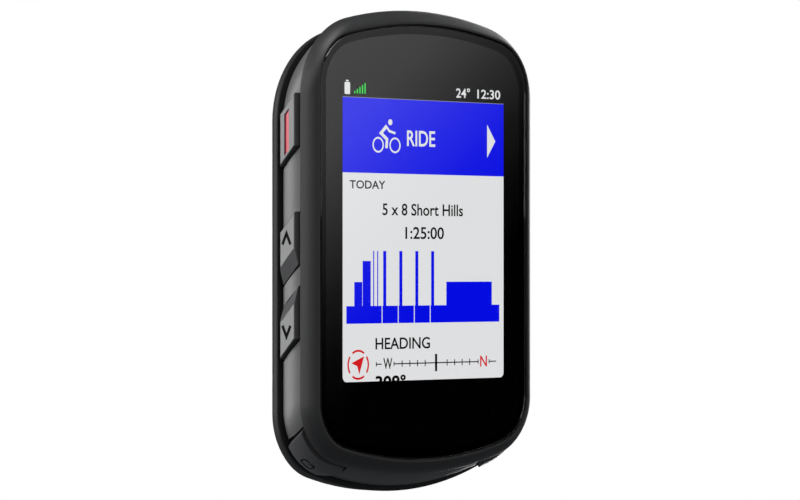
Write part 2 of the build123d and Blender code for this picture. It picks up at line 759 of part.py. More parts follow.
def buzzer():
    """Round sounder on the board's back, behind the two sound holes."""
    back = BOARD_FRONT_Y + BOARD_THICKNESS
    can = rod(BUZZER_R, SOUND_X, BUZZER_Z, back + BUZZER_HEIGHT, back)
    return as_solid(fillet(can.faces().sort_by(Axis.Y)[-1].edges(), 0.4))


def vent_membrane():
    """Breathable membrane inside the sound and pressure holes."""
    return rod(2.6, SOUND_X, SOUND_Z, BACK_Y - REAR_FLOOR, BACK_Y - REAR_FLOOR - 0.2)


def battery():
    """Lithium-polymer pouch cell behind the board, with soft rounded edges."""
    width, height, depth = BATTERY
    back = BACK_Y - REAR_FLOOR - PAD_THICKNESS - PAD_FOAM
    cell = plate(width, height, 0, BATTERY_MID_Z, back, back - depth, 1.5)
    return as_solid(fillet(cell.edges().filter_by(Plane.XZ), 0.6))


def battery_lead():
    """Battery plug and socket on the board, beside the cell's lower edge."""
    back = BOARD_FRONT_Y + BOARD_THICKNESS
    return as_solid(plate(5.0, 3.6, -8.5, -24.5, back + 1.8, back, 0.3))


def battery_pad():
    """Foam pad between the cell and the rear shell's pad."""
    back = BACK_Y - REAR_FLOOR - PAD_THICKNESS
    return plate(PAD_SIDE, PAD_SIDE, 0, 0, back, back - PAD_FOAM, 2.0)


def usb_port():
    """Waterproof charging socket on the board's back, with its mouth in the lower edge."""
    face = Plane.XY.offset(PORT_MOUTH_Z) * Pos(0, PORT_Y) * SlotOverall(PORT_WIDTH, PORT_HEIGHT)
    shell = extrude(face, amount=PORT_LENGTH)
    mouth = SlotOverall(PORT_WIDTH - 2 * PORT_WALL, PORT_HEIGHT - 2 * PORT_WALL)
    mouth = Plane.XY.offset(PORT_MOUTH_Z) * Pos(0, PORT_Y) * mouth
    tongue = Pos(0, PORT_Y, PORT_MOUTH_Z + TONGUE_SET + TONGUE[2] / 2) * Box(*TONGUE)
    base = plate(PORT_WIDTH, PORT_LENGTH - 2.5, 0, PORT_MOUTH_Z + PORT_LENGTH / 2 + 1.25,
                 PORT_Y, BOARD_FRONT_Y + BOARD_THICKNESS, 0.2)
    return as_solid(shell + base - extrude(mouth, amount=PORT_LENGTH - 1.2) + tongue)


def usb_seal():
    """Silicone ring round the charging socket, pressed against the shell's inner wall."""
    level = REAR[4] + REAR_WALL + 0.1
    ring = SlotOverall(PORT_WIDTH + 2.0, PORT_HEIGHT + 0.6) - SlotOverall(PORT_WIDTH, PORT_HEIGHT)
    return as_solid(extrude(Plane.XY.offset(level + 0.6) * Pos(0, PORT_Y) * ring, amount=0.9))


def weather_cap():
    """Moulded rubber cap over the charging socket, with a plug block, a pull lip and a hinge barrel."""
    depth = CAP_PIVOT_Y - CAP_FRONT_Y
    middle_y = (CAP_PIVOT_Y + CAP_FRONT_Y) / 2
    top = REAR[4] + CAP_THICKNESS
    block = Pos(0, middle_y, top - 5.0) * Box(2 * CAP_HALF, depth, 10.0)
    cap = rear_form() & block
    cap = cap - cross_rod(1.3, CAP_HALF + 1.0)
    neck = Pos(0, CAP_PIVOT_Y - 0.9, CAP_PIVOT_Z - 0.62) * Box(2 * CAP_HALF, 1.8, 0.5)
    cap = cap + (neck & rear_form()) + cross_rod(CAP_BARREL_R, CAP_BARREL_HALF)
    plug = Pos(0, PORT_Y - 0.2, top + 0.45) * Box(*PLUG)
    for groove in range(CAP_GROOVES):
        x = CAP_GROOVE_PITCH * (groove - (CAP_GROOVES - 1) / 2)
        cap = cap - Pos(x, CAP_FRONT_Y + 1.2, REAR[4]) * Box(0.5, 1.6, 0.5)
    return as_solid(cap + plug)


# Switches and seals


def side_parts(make):
    """One piece per side key, left and right, made by make(stem height)."""
    left = [as_solid(make(stem_z(top_z))) for top_z in (POWER_TOP_Z, UP_TOP_Z, DOWN_TOP_Z)]
    right = [as_solid(mirrored(make(stem_z(top_z)))) for top_z in (UP_TOP_Z, DOWN_TOP_Z)]
    return left + right


def key_seals():
    """Rubber rings that seal every key's stem in the side band."""
    rings = side_parts(lambda z: side_tube(STEM_R + 0.03, SEAL_R, POCKET_X, SEAL_THICKNESS, z))
    corner = corner_tube(STEM_R + 0.03, SEAL_R, CORNER_SEAL_R, SEAL_THICKNESS)
    return Compound(rings + [as_solid(corner), as_solid(mirrored(corner))])


def side_switch(z):
    """A side-push switch for a left-hand key."""
    face_x = STEM_END_X - KEY_TRAVEL - SWITCH_GAP
    body = Pos(-face_x + SWITCH_DEPTH / 2 + 0.2, STEM_Y, z) * Box(SWITCH_DEPTH - 0.4, SWITCH_SIDE, 4.0)
    return body + side_tube(0, 0.9, face_x, 0.6, z)


def corner_switch():
    """A push switch for the left-hand corner key."""
    face = CORNER_STEM_END_R - KEY_TRAVEL - SWITCH_GAP
    body = extrude(corner_plane(face - SWITCH_DEPTH) * Rectangle(3.6, SWITCH_SIDE), amount=SWITCH_DEPTH - 0.4)
    return body + corner_tube(0, 0.9, face, 0.6)


def key_switches():
    """Seven small push switches, one behind each key."""
    corner = as_solid(corner_switch())
    return Compound(side_parts(side_switch) + [corner, as_solid(mirrored(corner))])


def switch_flex(side):
    """Flexible circuit that carries one side's switches."""
    height = 42.0 if side < 0 else 24.0
    middle = 4.5 if side < 0 else -5.5
    front = carrier_front() + CARRIER[2] + 0.1
    back = WALL_BACK_Y - 0.1
    return as_solid(plate(FLEX_THICKNESS, height, side * SWITCH_FLEX_X, middle, back, front, 0.05))


def side_clip(top_z):
    """Retaining ring on a left-hand key's stem, inside the wall."""
    outer_x = CAVITY[0] - CLIP_GAP
    return as_solid(side_tube(STEM_R, CLIP_R, outer_x, CLIP_THICKNESS, stem_z(top_z)))


def corner_clip():
    """Retaining ring on the left-hand corner key's stem."""
    return as_solid(corner_tube(STEM_R, CLIP_R, CORNER_STEM_END_R + CLIP_THICKNESS + 0.15, CLIP_THICKNESS))


def power_key():
    """Power key with the slot for its coloured stripe."""
    recess = slanted_prism(STRIPE_TOP_Z, STRIPE_LENGTH, STRIPE_FRONT_Y, STRIPE_FRONT_Y + STRIPE_WIDTH,
                           KEY_FACE_X + 1.0, STRIPE_RECESS + 1.0)
    return as_solid(side_key(POWER_TOP_Z) - recess)


def power_key_stripe():
    """Coloured stripe let into the power key."""
    stripe_x = KEY_FACE_X - STRIPE_RECESS + STRIPE_THICKNESS
    return as_solid(slanted_prism(STRIPE_TOP_Z, STRIPE_LENGTH, STRIPE_FRONT_Y,
                                  STRIPE_FRONT_Y + STRIPE_WIDTH, stripe_x, STRIPE_THICKNESS))


PIECES = {
    "front_lens": front_lens(),
    "lens_adhesive": lens_adhesive(),
    "front_bezel": front_bezel(),
    "mid_housing": mid_housing(),
    "rear_housing": rear_housing(),
    "case_seal": case_seal(),
    "case_screws": case_screws(),
    "mount_insert": mount_insert(),
    "mount_screws": mount_screws(),
    "contact_block": contact_block(),
    "contact_pins": contact_pins(),
    "display_panel": display_panel(),
    "backlight": backlight(),
    "display_carrier": display_carrier(),
    "display_flex": display_flex(),
    "light_sensor": light_sensor(),
    "main_board": main_board(),
    "board_screws": board_screws(),
    "shield_cans": shield_cans(),
    "gnss_antenna": gnss_antenna(),
    "radio_antenna": radio_antenna(),
    "buzzer": buzzer(),
    "vent_membrane": vent_membrane(),
    "battery": battery(),
    "battery_lead": battery_lead(),
    "battery_pad": battery_pad(),
    "usb_port": usb_port(),
    "usb_seal": usb_seal(),
    "weather_cap": weather_cap(),
    "key_seals": key_seals(),
    "key_switches": key_switches(),
    "switch_flex_left": switch_flex(-1),
    "switch_flex_right": switch_flex(1),
    "power_key": power_key(),
    "power_key_stripe": power_key_stripe(),
    "power_key_clip": side_clip(POWER_TOP_Z),
    "up_key": side_key(UP_TOP_Z, "lower"),
    "up_key_clip": side_clip(UP_TOP_Z),
    "down_key": side_key(DOWN_TOP_Z, "upper"),
    "down_key_clip": side_clip(DOWN_TOP_Z),
    "select_key": mirrored(side_key(UP_TOP_Z, "lower")),
    "select_key_clip": mirrored(side_clip(UP_TOP_Z)),
    "back_key": mirrored(side_key(DOWN_TOP_Z, "upper")),
    "back_key_clip": mirrored(side_clip(DOWN_TOP_Z)),
    "lap_key": corner_key(),
    "lap_key_clip": corner_clip(),
    "start_key": mirrored(corner_key()),
    "start_key_clip": mirrored(corner_clip()),
}

os.makedirs("parts", exist_ok=True)
for name, piece in PIECES.items():
    export_step(piece, "parts/" + name + ".step")
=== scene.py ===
import json
import math

import bmesh
import bpy
from mathutils import Matrix, Vector
from mathutils.bvhtree import BVHTree


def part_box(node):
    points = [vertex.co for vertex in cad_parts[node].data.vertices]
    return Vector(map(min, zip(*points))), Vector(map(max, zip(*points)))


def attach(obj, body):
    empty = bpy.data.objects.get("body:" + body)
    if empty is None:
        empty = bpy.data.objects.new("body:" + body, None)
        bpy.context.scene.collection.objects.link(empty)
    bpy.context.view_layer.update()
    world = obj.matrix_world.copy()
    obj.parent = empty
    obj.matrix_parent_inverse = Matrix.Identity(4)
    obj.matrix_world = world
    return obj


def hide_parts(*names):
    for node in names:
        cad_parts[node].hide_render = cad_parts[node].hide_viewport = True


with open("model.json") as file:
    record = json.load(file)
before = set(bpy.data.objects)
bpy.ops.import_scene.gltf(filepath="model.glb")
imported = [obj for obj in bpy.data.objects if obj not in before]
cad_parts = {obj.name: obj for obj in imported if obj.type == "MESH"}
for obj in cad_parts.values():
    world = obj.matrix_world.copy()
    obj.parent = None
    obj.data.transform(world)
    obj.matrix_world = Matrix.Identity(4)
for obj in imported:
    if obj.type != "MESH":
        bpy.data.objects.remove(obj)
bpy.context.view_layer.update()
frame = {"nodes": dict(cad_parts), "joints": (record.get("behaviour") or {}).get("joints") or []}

# --- Camera -------------------------------------------------------------------------------------
# A long lens stands level with the computer, a little over 60 cm off its left front corner. It aims
# at the middle of the lit picture and is moved a little left and down to place the object in frame.

MM = 0.001
PICTURE_RISE = 1.0 * MM
PICTURE_SET = 0.1 * MM
VIEW_TURN = math.radians(44.6)
VIEW_DISTANCE = 617.6 * MM
VIEW_LEFT = 4.12 * MM
VIEW_DROP = 6.57 * MM
panel_low, panel_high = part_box("display_panel")
PICTURE_CENTRE_Z = (panel_low.z + panel_high.z) / 2 + PICTURE_RISE
screen_centre = Vector((0.0, panel_low.y + PICTURE_SET, PICTURE_CENTRE_Z))
to_the_right = Vector((math.cos(VIEW_TURN), -math.sin(VIEW_TURN), 0.0))
into_the_scene = Vector((math.sin(VIEW_TURN), math.cos(VIEW_TURN), 0.0))
camera = bpy.data.objects.new("camera", bpy.data.cameras.new("camera"))
camera.location = screen_centre - into_the_scene * VIEW_DISTANCE
camera.location -= to_the_right * VIEW_LEFT + Vector((0.0, 0.0, VIEW_DROP))
camera.rotation_mode = "QUATERNION"
camera.rotation_quaternion = into_the_scene.to_track_quat("-Z", "Y")
camera.data.lens = 157.8
camera.data.sensor_width = 36.0
camera.data.shift_y = 0.0225
camera.data.clip_start = 0.01
camera.data.clip_end = 20.0
bpy.context.scene.collection.objects.link(camera)
bpy.context.scene.camera = camera
bpy.context.scene.view_settings.view_transform = "Standard"

# --- Studio -------------------------------------------------------------------------------------
# The computer hangs in plain white with no floor or shadow under it. Soft boxes stand at the sides
# and back, and a graded card gives the flat glass its reflection.


def node_material(name):
    """A new node material: gives back the material, its nodes, its links and its Principled shader."""
    material = bpy.data.materials.new(name)
    material.use_nodes = True
    tree = material.node_tree
    return material, tree.nodes, tree.links, tree.nodes["Principled BSDF"]


def mesh_object(name, mesh_maker, material):
    """A new flat-shaded object from a bmesh that mesh_maker fills in."""
    mesh = bpy.data.meshes.new(name)
    shape = bmesh.new()
    mesh_maker(shape)
    bmesh.ops.recalc_face_normals(shape, faces=shape.faces)
    for face in shape.faces:
        face.smooth = False
    shape.to_mesh(mesh)
    shape.free()
    mesh.materials.append(material)
    made = bpy.data.objects.new(name, mesh)
    bpy.context.scene.collection.objects.link(made)
    return made


def soft_box(name, turn, height, distance, width, tall, power):
    """An area light aimed at the computer; turn is measured like the camera's, from the screen side."""
    lamp = bpy.data.lights.new(name, "AREA")
    lamp.shape = "RECTANGLE"
    lamp.size = width
    lamp.size_y = tall
    lamp.energy = power
    light = bpy.data.objects.new(name, lamp)
    angle = math.radians(turn)
    light.location = Vector((math.sin(angle) * distance, -math.cos(angle) * distance, height))
    light.rotation_mode = "QUATERNION"
    light.rotation_quaternion = (-light.location).to_track_quat("-Z", "Y")
    bpy.context.scene.collection.objects.link(light)


soft_box("back_left_box", turn=-131.0, height=0.13, distance=0.9, width=0.5, tall=0.9, power=8.6)
soft_box("left_box", turn=-80.0, height=0.25, distance=0.9, width=0.5, tall=0.6, power=1.8)
soft_box("back_right_strip", turn=128.0, height=0.05, distance=0.9, width=0.12, tall=0.7, power=1.5)
soft_box("right_box", turn=96.0, height=0.25, distance=0.9, width=0.5, tall=0.6, power=3.0)
soft_box("top_box", turn=-20.0, height=1.1, distance=0.5, width=0.8, tall=0.8, power=9.0)
soft_box("front_fill", turn=-50.0, height=0.5, distance=1.4, width=1.0, tall=1.0, power=2.4)

ROOM_TONE = (0.9, 0.95, 1.0, 1.0)
ROOM_GLOW = 0.12
world = bpy.data.worlds.new("studio")
world.use_nodes = True
bpy.context.scene.world = world
world_nodes = world.node_tree.nodes
world_links = world.node_tree.links
seen_white = world_nodes["Background"]
seen_white.inputs["Color"].default_value = (1.0, 1.0, 1.0, 1.0)
room_grey = world_nodes.new("ShaderNodeBackground")
room_grey.inputs["Color"].default_value = ROOM_TONE
room_grey.inputs["Strength"].default_value = ROOM_GLOW
ray = world_nodes.new("ShaderNodeLightPath")
choose = world_nodes.new("ShaderNodeMixShader")
world_links.new(ray.outputs["Is Camera Ray"], choose.inputs["Fac"])
world_links.new(room_grey.outputs["Background"], choose.inputs[1])
world_links.new(seen_white.outputs["Background"], choose.inputs[2])
world_links.new(choose.outputs["Shader"], world_nodes["World Output"].inputs["Surface"])

# The card glows towards its upper left, so the flat lens shows a grey that fades down and to the
# right. Each step is a place along the fade and the glow there.
CARD_TURN = math.radians(46.0)
CARD_DISTANCE = 0.9
CARD_HALF = 0.45
CARD_LOW = -0.2
CARD_HIGH = 0.5
CARD_BRIGHT_END = -0.16
CARD_STEPS = (
    (0.0, 0.66), (0.24, 0.56), (0.38, 0.38), (0.50, 0.23), (0.67, 0.08), (0.83, 0.022), (1.0, 0.002),
)


def gradient_card(shape):
    """An upright rectangle that faces the computer."""
    centre = Vector((math.sin(CARD_TURN), -math.cos(CARD_TURN), 0.0)) * CARD_DISTANCE
    along = Vector((math.cos(CARD_TURN), math.sin(CARD_TURN), 0.0)) * CARD_HALF
    corners = [
        shape.verts.new(centre + side * along + Vector((0, 0, height)))
        for side, height in ((-1, CARD_LOW), (1, CARD_LOW), (1, CARD_HIGH), (-1, CARD_HIGH))
    ]
    shape.faces.new(corners)


card_glow, card_nodes, card_links, card_shader = node_material("card_glow")
card_place = card_nodes.new("ShaderNodeNewGeometry")
card_slope = card_nodes.new("ShaderNodeVectorMath")
card_slope.operation = "DOT_PRODUCT"
card_slope.inputs[1].default_value = (math.cos(CARD_TURN), math.sin(CARD_TURN), -1.0)
card_share = card_nodes.new("ShaderNodeMapRange")
card_share.inputs["From Min"].default_value = CARD_BRIGHT_END
card_share.inputs["From Max"].default_value = 0.0
card_ramp = card_nodes.new("ShaderNodeValToRGB")
for place, _ in CARD_STEPS[1:-1]:
    card_ramp.color_ramp.elements.new(place)
for stop, (_, glow) in zip(card_ramp.color_ramp.elements, CARD_STEPS):
    stop.color = (glow, glow, glow, 1.0)
card_links.new(card_place.outputs["Position"], card_slope.inputs[0])
card_links.new(card_slope.outputs["Value"], card_share.inputs["Value"])
card_links.new(card_share.outputs["Result"], card_ramp.inputs["Fac"])
card_links.new(card_ramp.outputs["Color"], card_shader.inputs["Emission Color"])
card_shader.inputs["Base Color"].default_value = (0.0, 0.0, 0.0, 1.0)
card_shader.inputs["Emission Strength"].default_value = 1.0
card_shader.inputs["Specular IOR Level"].default_value = 0.0
card = mesh_object("gradient_card", gradient_card, card_glow)
card.visible_camera = False
card.visible_shadow = False
card.visible_diffuse = False

# --- Moulded plastic ----------------------------------------------------------------------------
# Injection-moulded plastic with a fine spark-eroded grain from the mould. The bezel, band and shell
# have it in black; the keys, the foot and small parts inside have it in other tones and sizes.


def new_group(name, inputs, outputs):
    """A shader group with inputs given as (name, kind, default) and outputs as (name, kind)."""
    group = bpy.data.node_groups.new(name, "ShaderNodeTree")
    for label, kind, default in inputs:
        socket = group.interface.new_socket(label, in_out="INPUT", socket_type="NodeSocket" + kind)
        socket.default_value = default
    for label, kind in outputs:
        group.interface.new_socket(label, in_out="OUTPUT", socket_type="NodeSocket" + kind)
    inside = group.nodes.new("NodeGroupInput")
    outside = group.nodes.new("NodeGroupOutput")
    return group, group.nodes, group.links, inside, outside


def moulded_grain_group():
    """Fine grain for the bump and for small changes of tone, and slow changes of gloss from handling."""
    group, made, links, given, result = new_group(
        "moulded_grain",
        [
            ("Colour", "Color", (0.05, 0.05, 0.05, 1.0)),
            ("Gloss spread", "Float", 0.06),
            ("Roughness", "Float", 0.45),
            ("Grain per metre", "Float", 9000.0),
            ("Grain height", "Float", 0.3),
        ],
        [("Colour", "Color"), ("Roughness", "Float"), ("Normal", "Vector")],
    )
    place = made.new("ShaderNodeTexCoord")
    grain = made.new("ShaderNodeTexVoronoi")
    grain.feature = "SMOOTH_F1"
    grain.inputs["Smoothness"].default_value = 0.6
    speckle = made.new("ShaderNodeTexNoise")
    speckle.inputs["Detail"].default_value = 3.0
    links.new(place.outputs["Object"], grain.inputs["Vector"])
    links.new(place.outputs["Object"], speckle.inputs["Vector"])
    links.new(given.outputs["Grain per metre"], grain.inputs["Scale"])
    links.new(given.outputs["Grain per metre"], speckle.inputs["Scale"])
    height = made.new("ShaderNodeMath")
    height.operation = "ADD"
    links.new(grain.outputs["Distance"], height.inputs[0])
    links.new(speckle.outputs["Fac"], height.inputs[1])
    bump = made.new("ShaderNodeBump")
    bump.inputs["Distance"].default_value = 0.00002
    links.new(given.outputs["Grain height"], bump.inputs["Strength"])
    links.new(height.outputs["Value"], bump.inputs["Height"])
    handling = made.new("ShaderNodeTexNoise")
    handling.inputs["Scale"].default_value = 70.0
    handling.inputs["Detail"].default_value = 4.0
    handling.inputs["Roughness"].default_value = 0.6
    links.new(place.outputs["Object"], handling.inputs["Vector"])
    spread = made.new("ShaderNodeMapRange")
    spread.inputs["To Min"].default_value = -1.0
    links.new(handling.outputs["Fac"], spread.inputs["Value"])
    scaled = made.new("ShaderNodeMath")
    scaled.operation = "MULTIPLY_ADD"
    links.new(spread.outputs["Result"], scaled.inputs[0])
    links.new(given.outputs["Gloss spread"], scaled.inputs[1])
    links.new(given.outputs["Roughness"], scaled.inputs[2])
    lift = made.new("ShaderNodeMapRange")
    lift.inputs["To Min"].default_value = 0.86
    lift.inputs["To Max"].default_value = 1.14
    links.new(speckle.outputs["Fac"], lift.inputs["Value"])
    toned = made.new("ShaderNodeVectorMath")
    toned.operation = "SCALE"
    links.new(given.outputs["Colour"], toned.inputs[0])
    links.new(lift.outputs["Result"], toned.inputs["Scale"])
    links.new(toned.outputs["Vector"], result.inputs["Colour"])
    links.new(scaled.outputs["Value"], result.inputs["Roughness"])
    links.new(bump.outputs["Normal"], result.inputs["Normal"])
    return group


moulded_grain = moulded_grain_group()


def moulded_plastic(name, tone, roughness, grain=9000.0, height=0.3):
    """Moulded plastic of one tone, with its own grain."""
    material, made, links, shader = node_material(name)
    grains = made.new("ShaderNodeGroup")
    grains.node_tree = moulded_grain
    grains.inputs["Colour"].default_value = (tone[0], tone[1], tone[2], 1.0)
    grains.inputs["Roughness"].default_value = roughness
    grains.inputs["Grain per metre"].default_value = grain
    grains.inputs["Grain height"].default_value = height
    links.new(grains.outputs["Colour"], shader.inputs["Base Color"])
    links.new(grains.outputs["Roughness"], shader.inputs["Roughness"])
    links.new(grains.outputs["Normal"], shader.inputs["Normal"])
    shader.inputs["IOR"].default_value = 1.5
    return material


# --- Bezel, side band and rear shell ------------------------------------------------------------
# Three mouldings in black glass-filled nylon. The bezel is clipped and bonded to the side band, and
# screws from behind draw the rear shell up against it.

nodes = frame["nodes"]
BEZEL_BLACK = (0.027, 0.027, 0.028)
BAND_GREY = (0.092, 0.092, 0.093)
SHELL_BLACK = (0.014, 0.014, 0.015)
SHELL_GLOSS_LEVEL = 0.3


def finish_node(name, material):
    """Gives a CAD node its material."""
    mesh = nodes[name].data
    mesh.materials.clear()
    mesh.materials.append(material)


finish_node("front_bezel", moulded_plastic("bezel_plastic", BEZEL_BLACK, roughness=0.42))
finish_node("mid_housing", moulded_plastic("band_plastic", BAND_GREY, roughness=0.42))
shell_plastic = moulded_plastic("shell_plastic", SHELL_BLACK, roughness=0.58, grain=6000.0, height=0.5)
shell_shader = shell_plastic.node_tree.nodes["Principled BSDF"]
shell_shader.inputs["Specular IOR Level"].default_value = SHELL_GLOSS_LEVEL
finish_node("rear_housing", shell_plastic)

# --- Lens ---------------------------------------------------------------------------------------
# Hardened cover glass with curved ends, let into the bezel flush with its crown. Black ink printed
# round its back leaves a window for the lit picture.

lens_glass, glass_nodes, glass_links, glass = node_material("lens_glass")
glass.inputs["Roughness"].default_value = 0.0
glass.inputs["Transmission Weight"].default_value = 1.0
glass.inputs["IOR"].default_value = 1.5
smears = glass_nodes.new("ShaderNodeTexNoise")
smears.inputs["Scale"].default_value = 45.0
smears.inputs["Detail"].default_value = 5.0
smear_tone = glass_nodes.new("ShaderNodeMapRange")
smear_tone.inputs["To Min"].default_value = 0.985
smear_place = glass_nodes.new("ShaderNodeTexCoord")
glass_links.new(smear_place.outputs["Object"], smears.inputs["Vector"])
glass_links.new(smears.outputs["Fac"], smear_tone.inputs["Value"])
glass_links.new(smear_tone.outputs["Result"], glass.inputs["Base Color"])
finish_node("front_lens", lens_glass)

PICTURE_WIDTH = 40.1 * MM
PICTURE_HEIGHT = 52.5 * MM
PICTURE_CORNER = 0.9 * MM
lens_low, lens_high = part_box("front_lens")
LENS_BACK = lens_high.y
INK_DEPTH = 0.03 * MM
INK_GAP = 0.01 * MM
INK_INSET = 0.12 * MM
MERGE_WITHIN = 0.0002 * MM
LENS_HALF = lens_high.x
LENS_TOP_ARC = 80.0 * MM
LENS_TOP_CORNER = 9.0 * MM
LENS_BOTTOM_ARC = 75.0 * MM
LENS_BOTTOM_CORNER = 8.0 * MM


def quarter_of_lens(half, edge, arc, corner, steps=14):
    """Points from the middle of one end of the lens, along its wide arc and round its corner."""
    arc_centre = edge - arc
    corner_x = half - corner
    corner_z = arc_centre + math.sqrt((arc - corner) ** 2 - corner_x**2)
    turn = math.atan2(corner_x, corner_z - arc_centre)
    points = []
    for step in range(steps):
        angle = turn * step / steps
        points.append((arc * math.sin(angle), arc_centre + arc * math.cos(angle)))
    for step in range(steps + 1):
        angle = turn + (math.pi / 2 - turn) * step / steps
        points.append((corner_x + corner * math.sin(angle), corner_z + corner * math.cos(angle)))
    return points


def lens_loop(inset):
    """The lens's outline moved in by inset, anticlockwise from its top middle, in X and Z."""
    half = LENS_HALF - inset
    top = quarter_of_lens(half, lens_high.z - inset, LENS_TOP_ARC - inset, LENS_TOP_CORNER - inset)
    low = quarter_of_lens(half, -lens_low.z - inset, LENS_BOTTOM_ARC - inset, LENS_BOTTOM_CORNER - inset)
    loop = [(-x, z) for x, z in top]
    loop += [(-x, -z) for x, z in reversed(low)]
    loop += [(x, -z) for x, z in low[1:]]
    loop += [(x, z) for x, z in reversed(top[1:])]
    return loop


def rectangle_loop(outer_loop, centre_z, width, height, corner):
    """A rounded rectangle with one point in line with each point of outer_loop, seen from its centre."""
    loop = []
    for x, z in outer_loop:
        slope_x = x
        slope_z = z - centre_z
        reach = min(
            width / 2 / abs(slope_x) if slope_x else math.inf,
            height / 2 / abs(slope_z) if slope_z else math.inf,
        )
        px = slope_x * reach
        pz = slope_z * reach
        corner_x = width / 2 - corner
        corner_z = height / 2 - corner
        if abs(px) > corner_x and abs(pz) > corner_z:
            away = Vector((abs(px) - corner_x, abs(pz) - corner_z)).normalized() * corner
            px = math.copysign(corner_x + away.x, px)
            pz = math.copysign(corner_z + away.y, pz)
        loop.append((px, pz + centre_z))
    return loop


def flat_ring(shape, outer_loop, inner_loop):
    """Quads between two loops of the same count."""
    outer = [shape.verts.new((x, z, 0.0)) for x, z in outer_loop]
    inner = [shape.verts.new((x, z, 0.0)) for x, z in inner_loop]
    for here in range(len(outer)):
        there = (here + 1) % len(outer)
        shape.faces.new((outer[here], outer[there], inner[there], inner[here]))


def facing(origin, right, up):
    """The matrix that puts a drawing's x, y and z on right, up and outwards, about origin."""
    right = Vector(right).normalized()
    up = Vector(up).normalized()
    out = right.cross(up)
    turned = Matrix((right, up, out)).transposed().to_4x4()
    return Matrix.Translation(Vector(origin)) @ turned


def thin_piece(name, draw, place, depth, material, body):
    """A thin closed piece: draw fills in a flat drawing, which is placed and given depth inwards."""

    def build(shape):
        draw(shape)
        bmesh.ops.remove_doubles(shape, verts=shape.verts, dist=MERGE_WITHIN)
        grown = bmesh.ops.extrude_face_region(shape, geom=shape.faces[:])
        moved = [item for item in grown["geom"] if isinstance(item, bmesh.types.BMVert)]
        bmesh.ops.translate(shape, verts=moved, vec=(0, 0, -depth))
        bmesh.ops.transform(shape, matrix=place, verts=shape.verts)

    piece = mesh_object(name, build, material)
    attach(piece, body)
    return piece


def flecked_tone_group():
    """A nearly even tone with fine flecks between a darkest and a lightest value."""
    group, made, links, given, result = new_group(
        "flecked_tone",
        [("Fleck scale", "Float", 3000.0), ("Darkest", "Float", 0.001), ("Lightest", "Float", 0.002)],
        [("Colour", "Color")],
    )
    flecks = made.new("ShaderNodeTexNoise")
    tone = made.new("ShaderNodeMapRange")
    links.new(given.outputs["Fleck scale"], flecks.inputs["Scale"])
    links.new(flecks.outputs["Fac"], tone.inputs["Value"])
    links.new(given.outputs["Darkest"], tone.inputs["To Min"])
    links.new(given.outputs["Lightest"], tone.inputs["To Max"])
    links.new(tone.outputs["Result"], result.inputs["Colour"])
    return group


flecked_tone = flecked_tone_group()


def flecked_ink(name, fleck_scale, darkest, lightest, roughness, gloss_level):
    """A dull dark ink with its own flecks."""
    material, made, links, shader = node_material(name)
    flecks = made.new("ShaderNodeGroup")
    flecks.node_tree = flecked_tone
    flecks.inputs["Fleck scale"].default_value = fleck_scale
    flecks.inputs["Darkest"].default_value = darkest
    flecks.inputs["Lightest"].default_value = lightest
    links.new(flecks.outputs["Colour"], shader.inputs["Base Color"])
    shader.inputs["Roughness"].default_value = roughness
    shader.inputs["Specular IOR Level"].default_value = gloss_level
    return material


border_ink = flecked_ink(
    "border_ink", fleck_scale=3000.0, darkest=0.0008, lightest=0.0022, roughness=0.9, gloss_level=0.0
)


def draw_border(shape):
    """The ink's ring, from just inside the edge of the glass to the window."""
    outer = lens_loop(INK_INSET)
    window = rectangle_loop(outer, PICTURE_CENTRE_Z, PICTURE_WIDTH, PICTURE_HEIGHT, PICTURE_CORNER)
    flat_ring(shape, outer, window)


border_place = facing((0, LENS_BACK + INK_GAP, 0), (1, 0, 0), (0, 0, 1))
thin_piece("lens_border", draw_border, border_place, INK_DEPTH, border_ink, "root")

# --- Light sensor -------------------------------------------------------------------------------
# A small photodiode that sets the brightness of the picture. It looks out through a dimmer dot left
# in the ink, low on the right, and both have the same dark window finish.

DOT_RADIUS = 0.72 * MM
DOT_SIDES = 40
DOT_DEPTH = 0.004 * MM
sensor_low, sensor_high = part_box("light_sensor")
sensor_window = flecked_ink(
    "sensor_window", fleck_scale=2500.0, darkest=0.008, lightest=0.016, roughness=0.7, gloss_level=0.5
)


def draw_dot(shape):
    bmesh.ops.create_circle(shape, cap_ends=True, segments=DOT_SIDES, radius=DOT_RADIUS)


sensor_centre = (sensor_low + sensor_high) / 2
dot_place = facing((sensor_centre.x, LENS_BACK + DOT_DEPTH, sensor_centre.z), (1, 0, 0), (0, 0, 1))
thin_piece("sensor_dot", draw_dot, dot_place, DOT_DEPTH, sensor_window, "root")
finish_node("light_sensor", sensor_window)

# --- Display ------------------------------------------------------------------------------------
# A colour panel of glass and film, bonded behind the lens. Its lit picture is a status line, a ride
# page with an effort chart and a compass strip, each part a thin layer on the panel's face.

BOND_DEPTH = 0.10 * MM
PANEL_FRONT = LENS_BACK + BOND_DEPTH
PANEL_CORNER = 1.0 * MM


def rounded_rectangle(shape, x0, z0, x1, z1, corner, steps=6):
    """One flat face with rounded corners."""
    middles = (
        (x1 - corner, z1 - corner),
        (x0 + corner, z1 - corner),
        (x0 + corner, z0 + corner),
        (x1 - corner, z0 + corner),
    )
    points = []
    for quarter, (cx, cz) in enumerate(middles):
        for step in range(steps + 1):
            angle = (quarter + step / steps) * math.pi / 2
            spot = (cx + corner * math.cos(angle), cz + corner * math.sin(angle), 0.0)
            points.append(shape.verts.new(spot))
    shape.faces.new(points)


def draw_panel(shape):
    rounded_rectangle(shape, panel_low.x, panel_low.z, panel_high.x, panel_high.z, PANEL_CORNER)


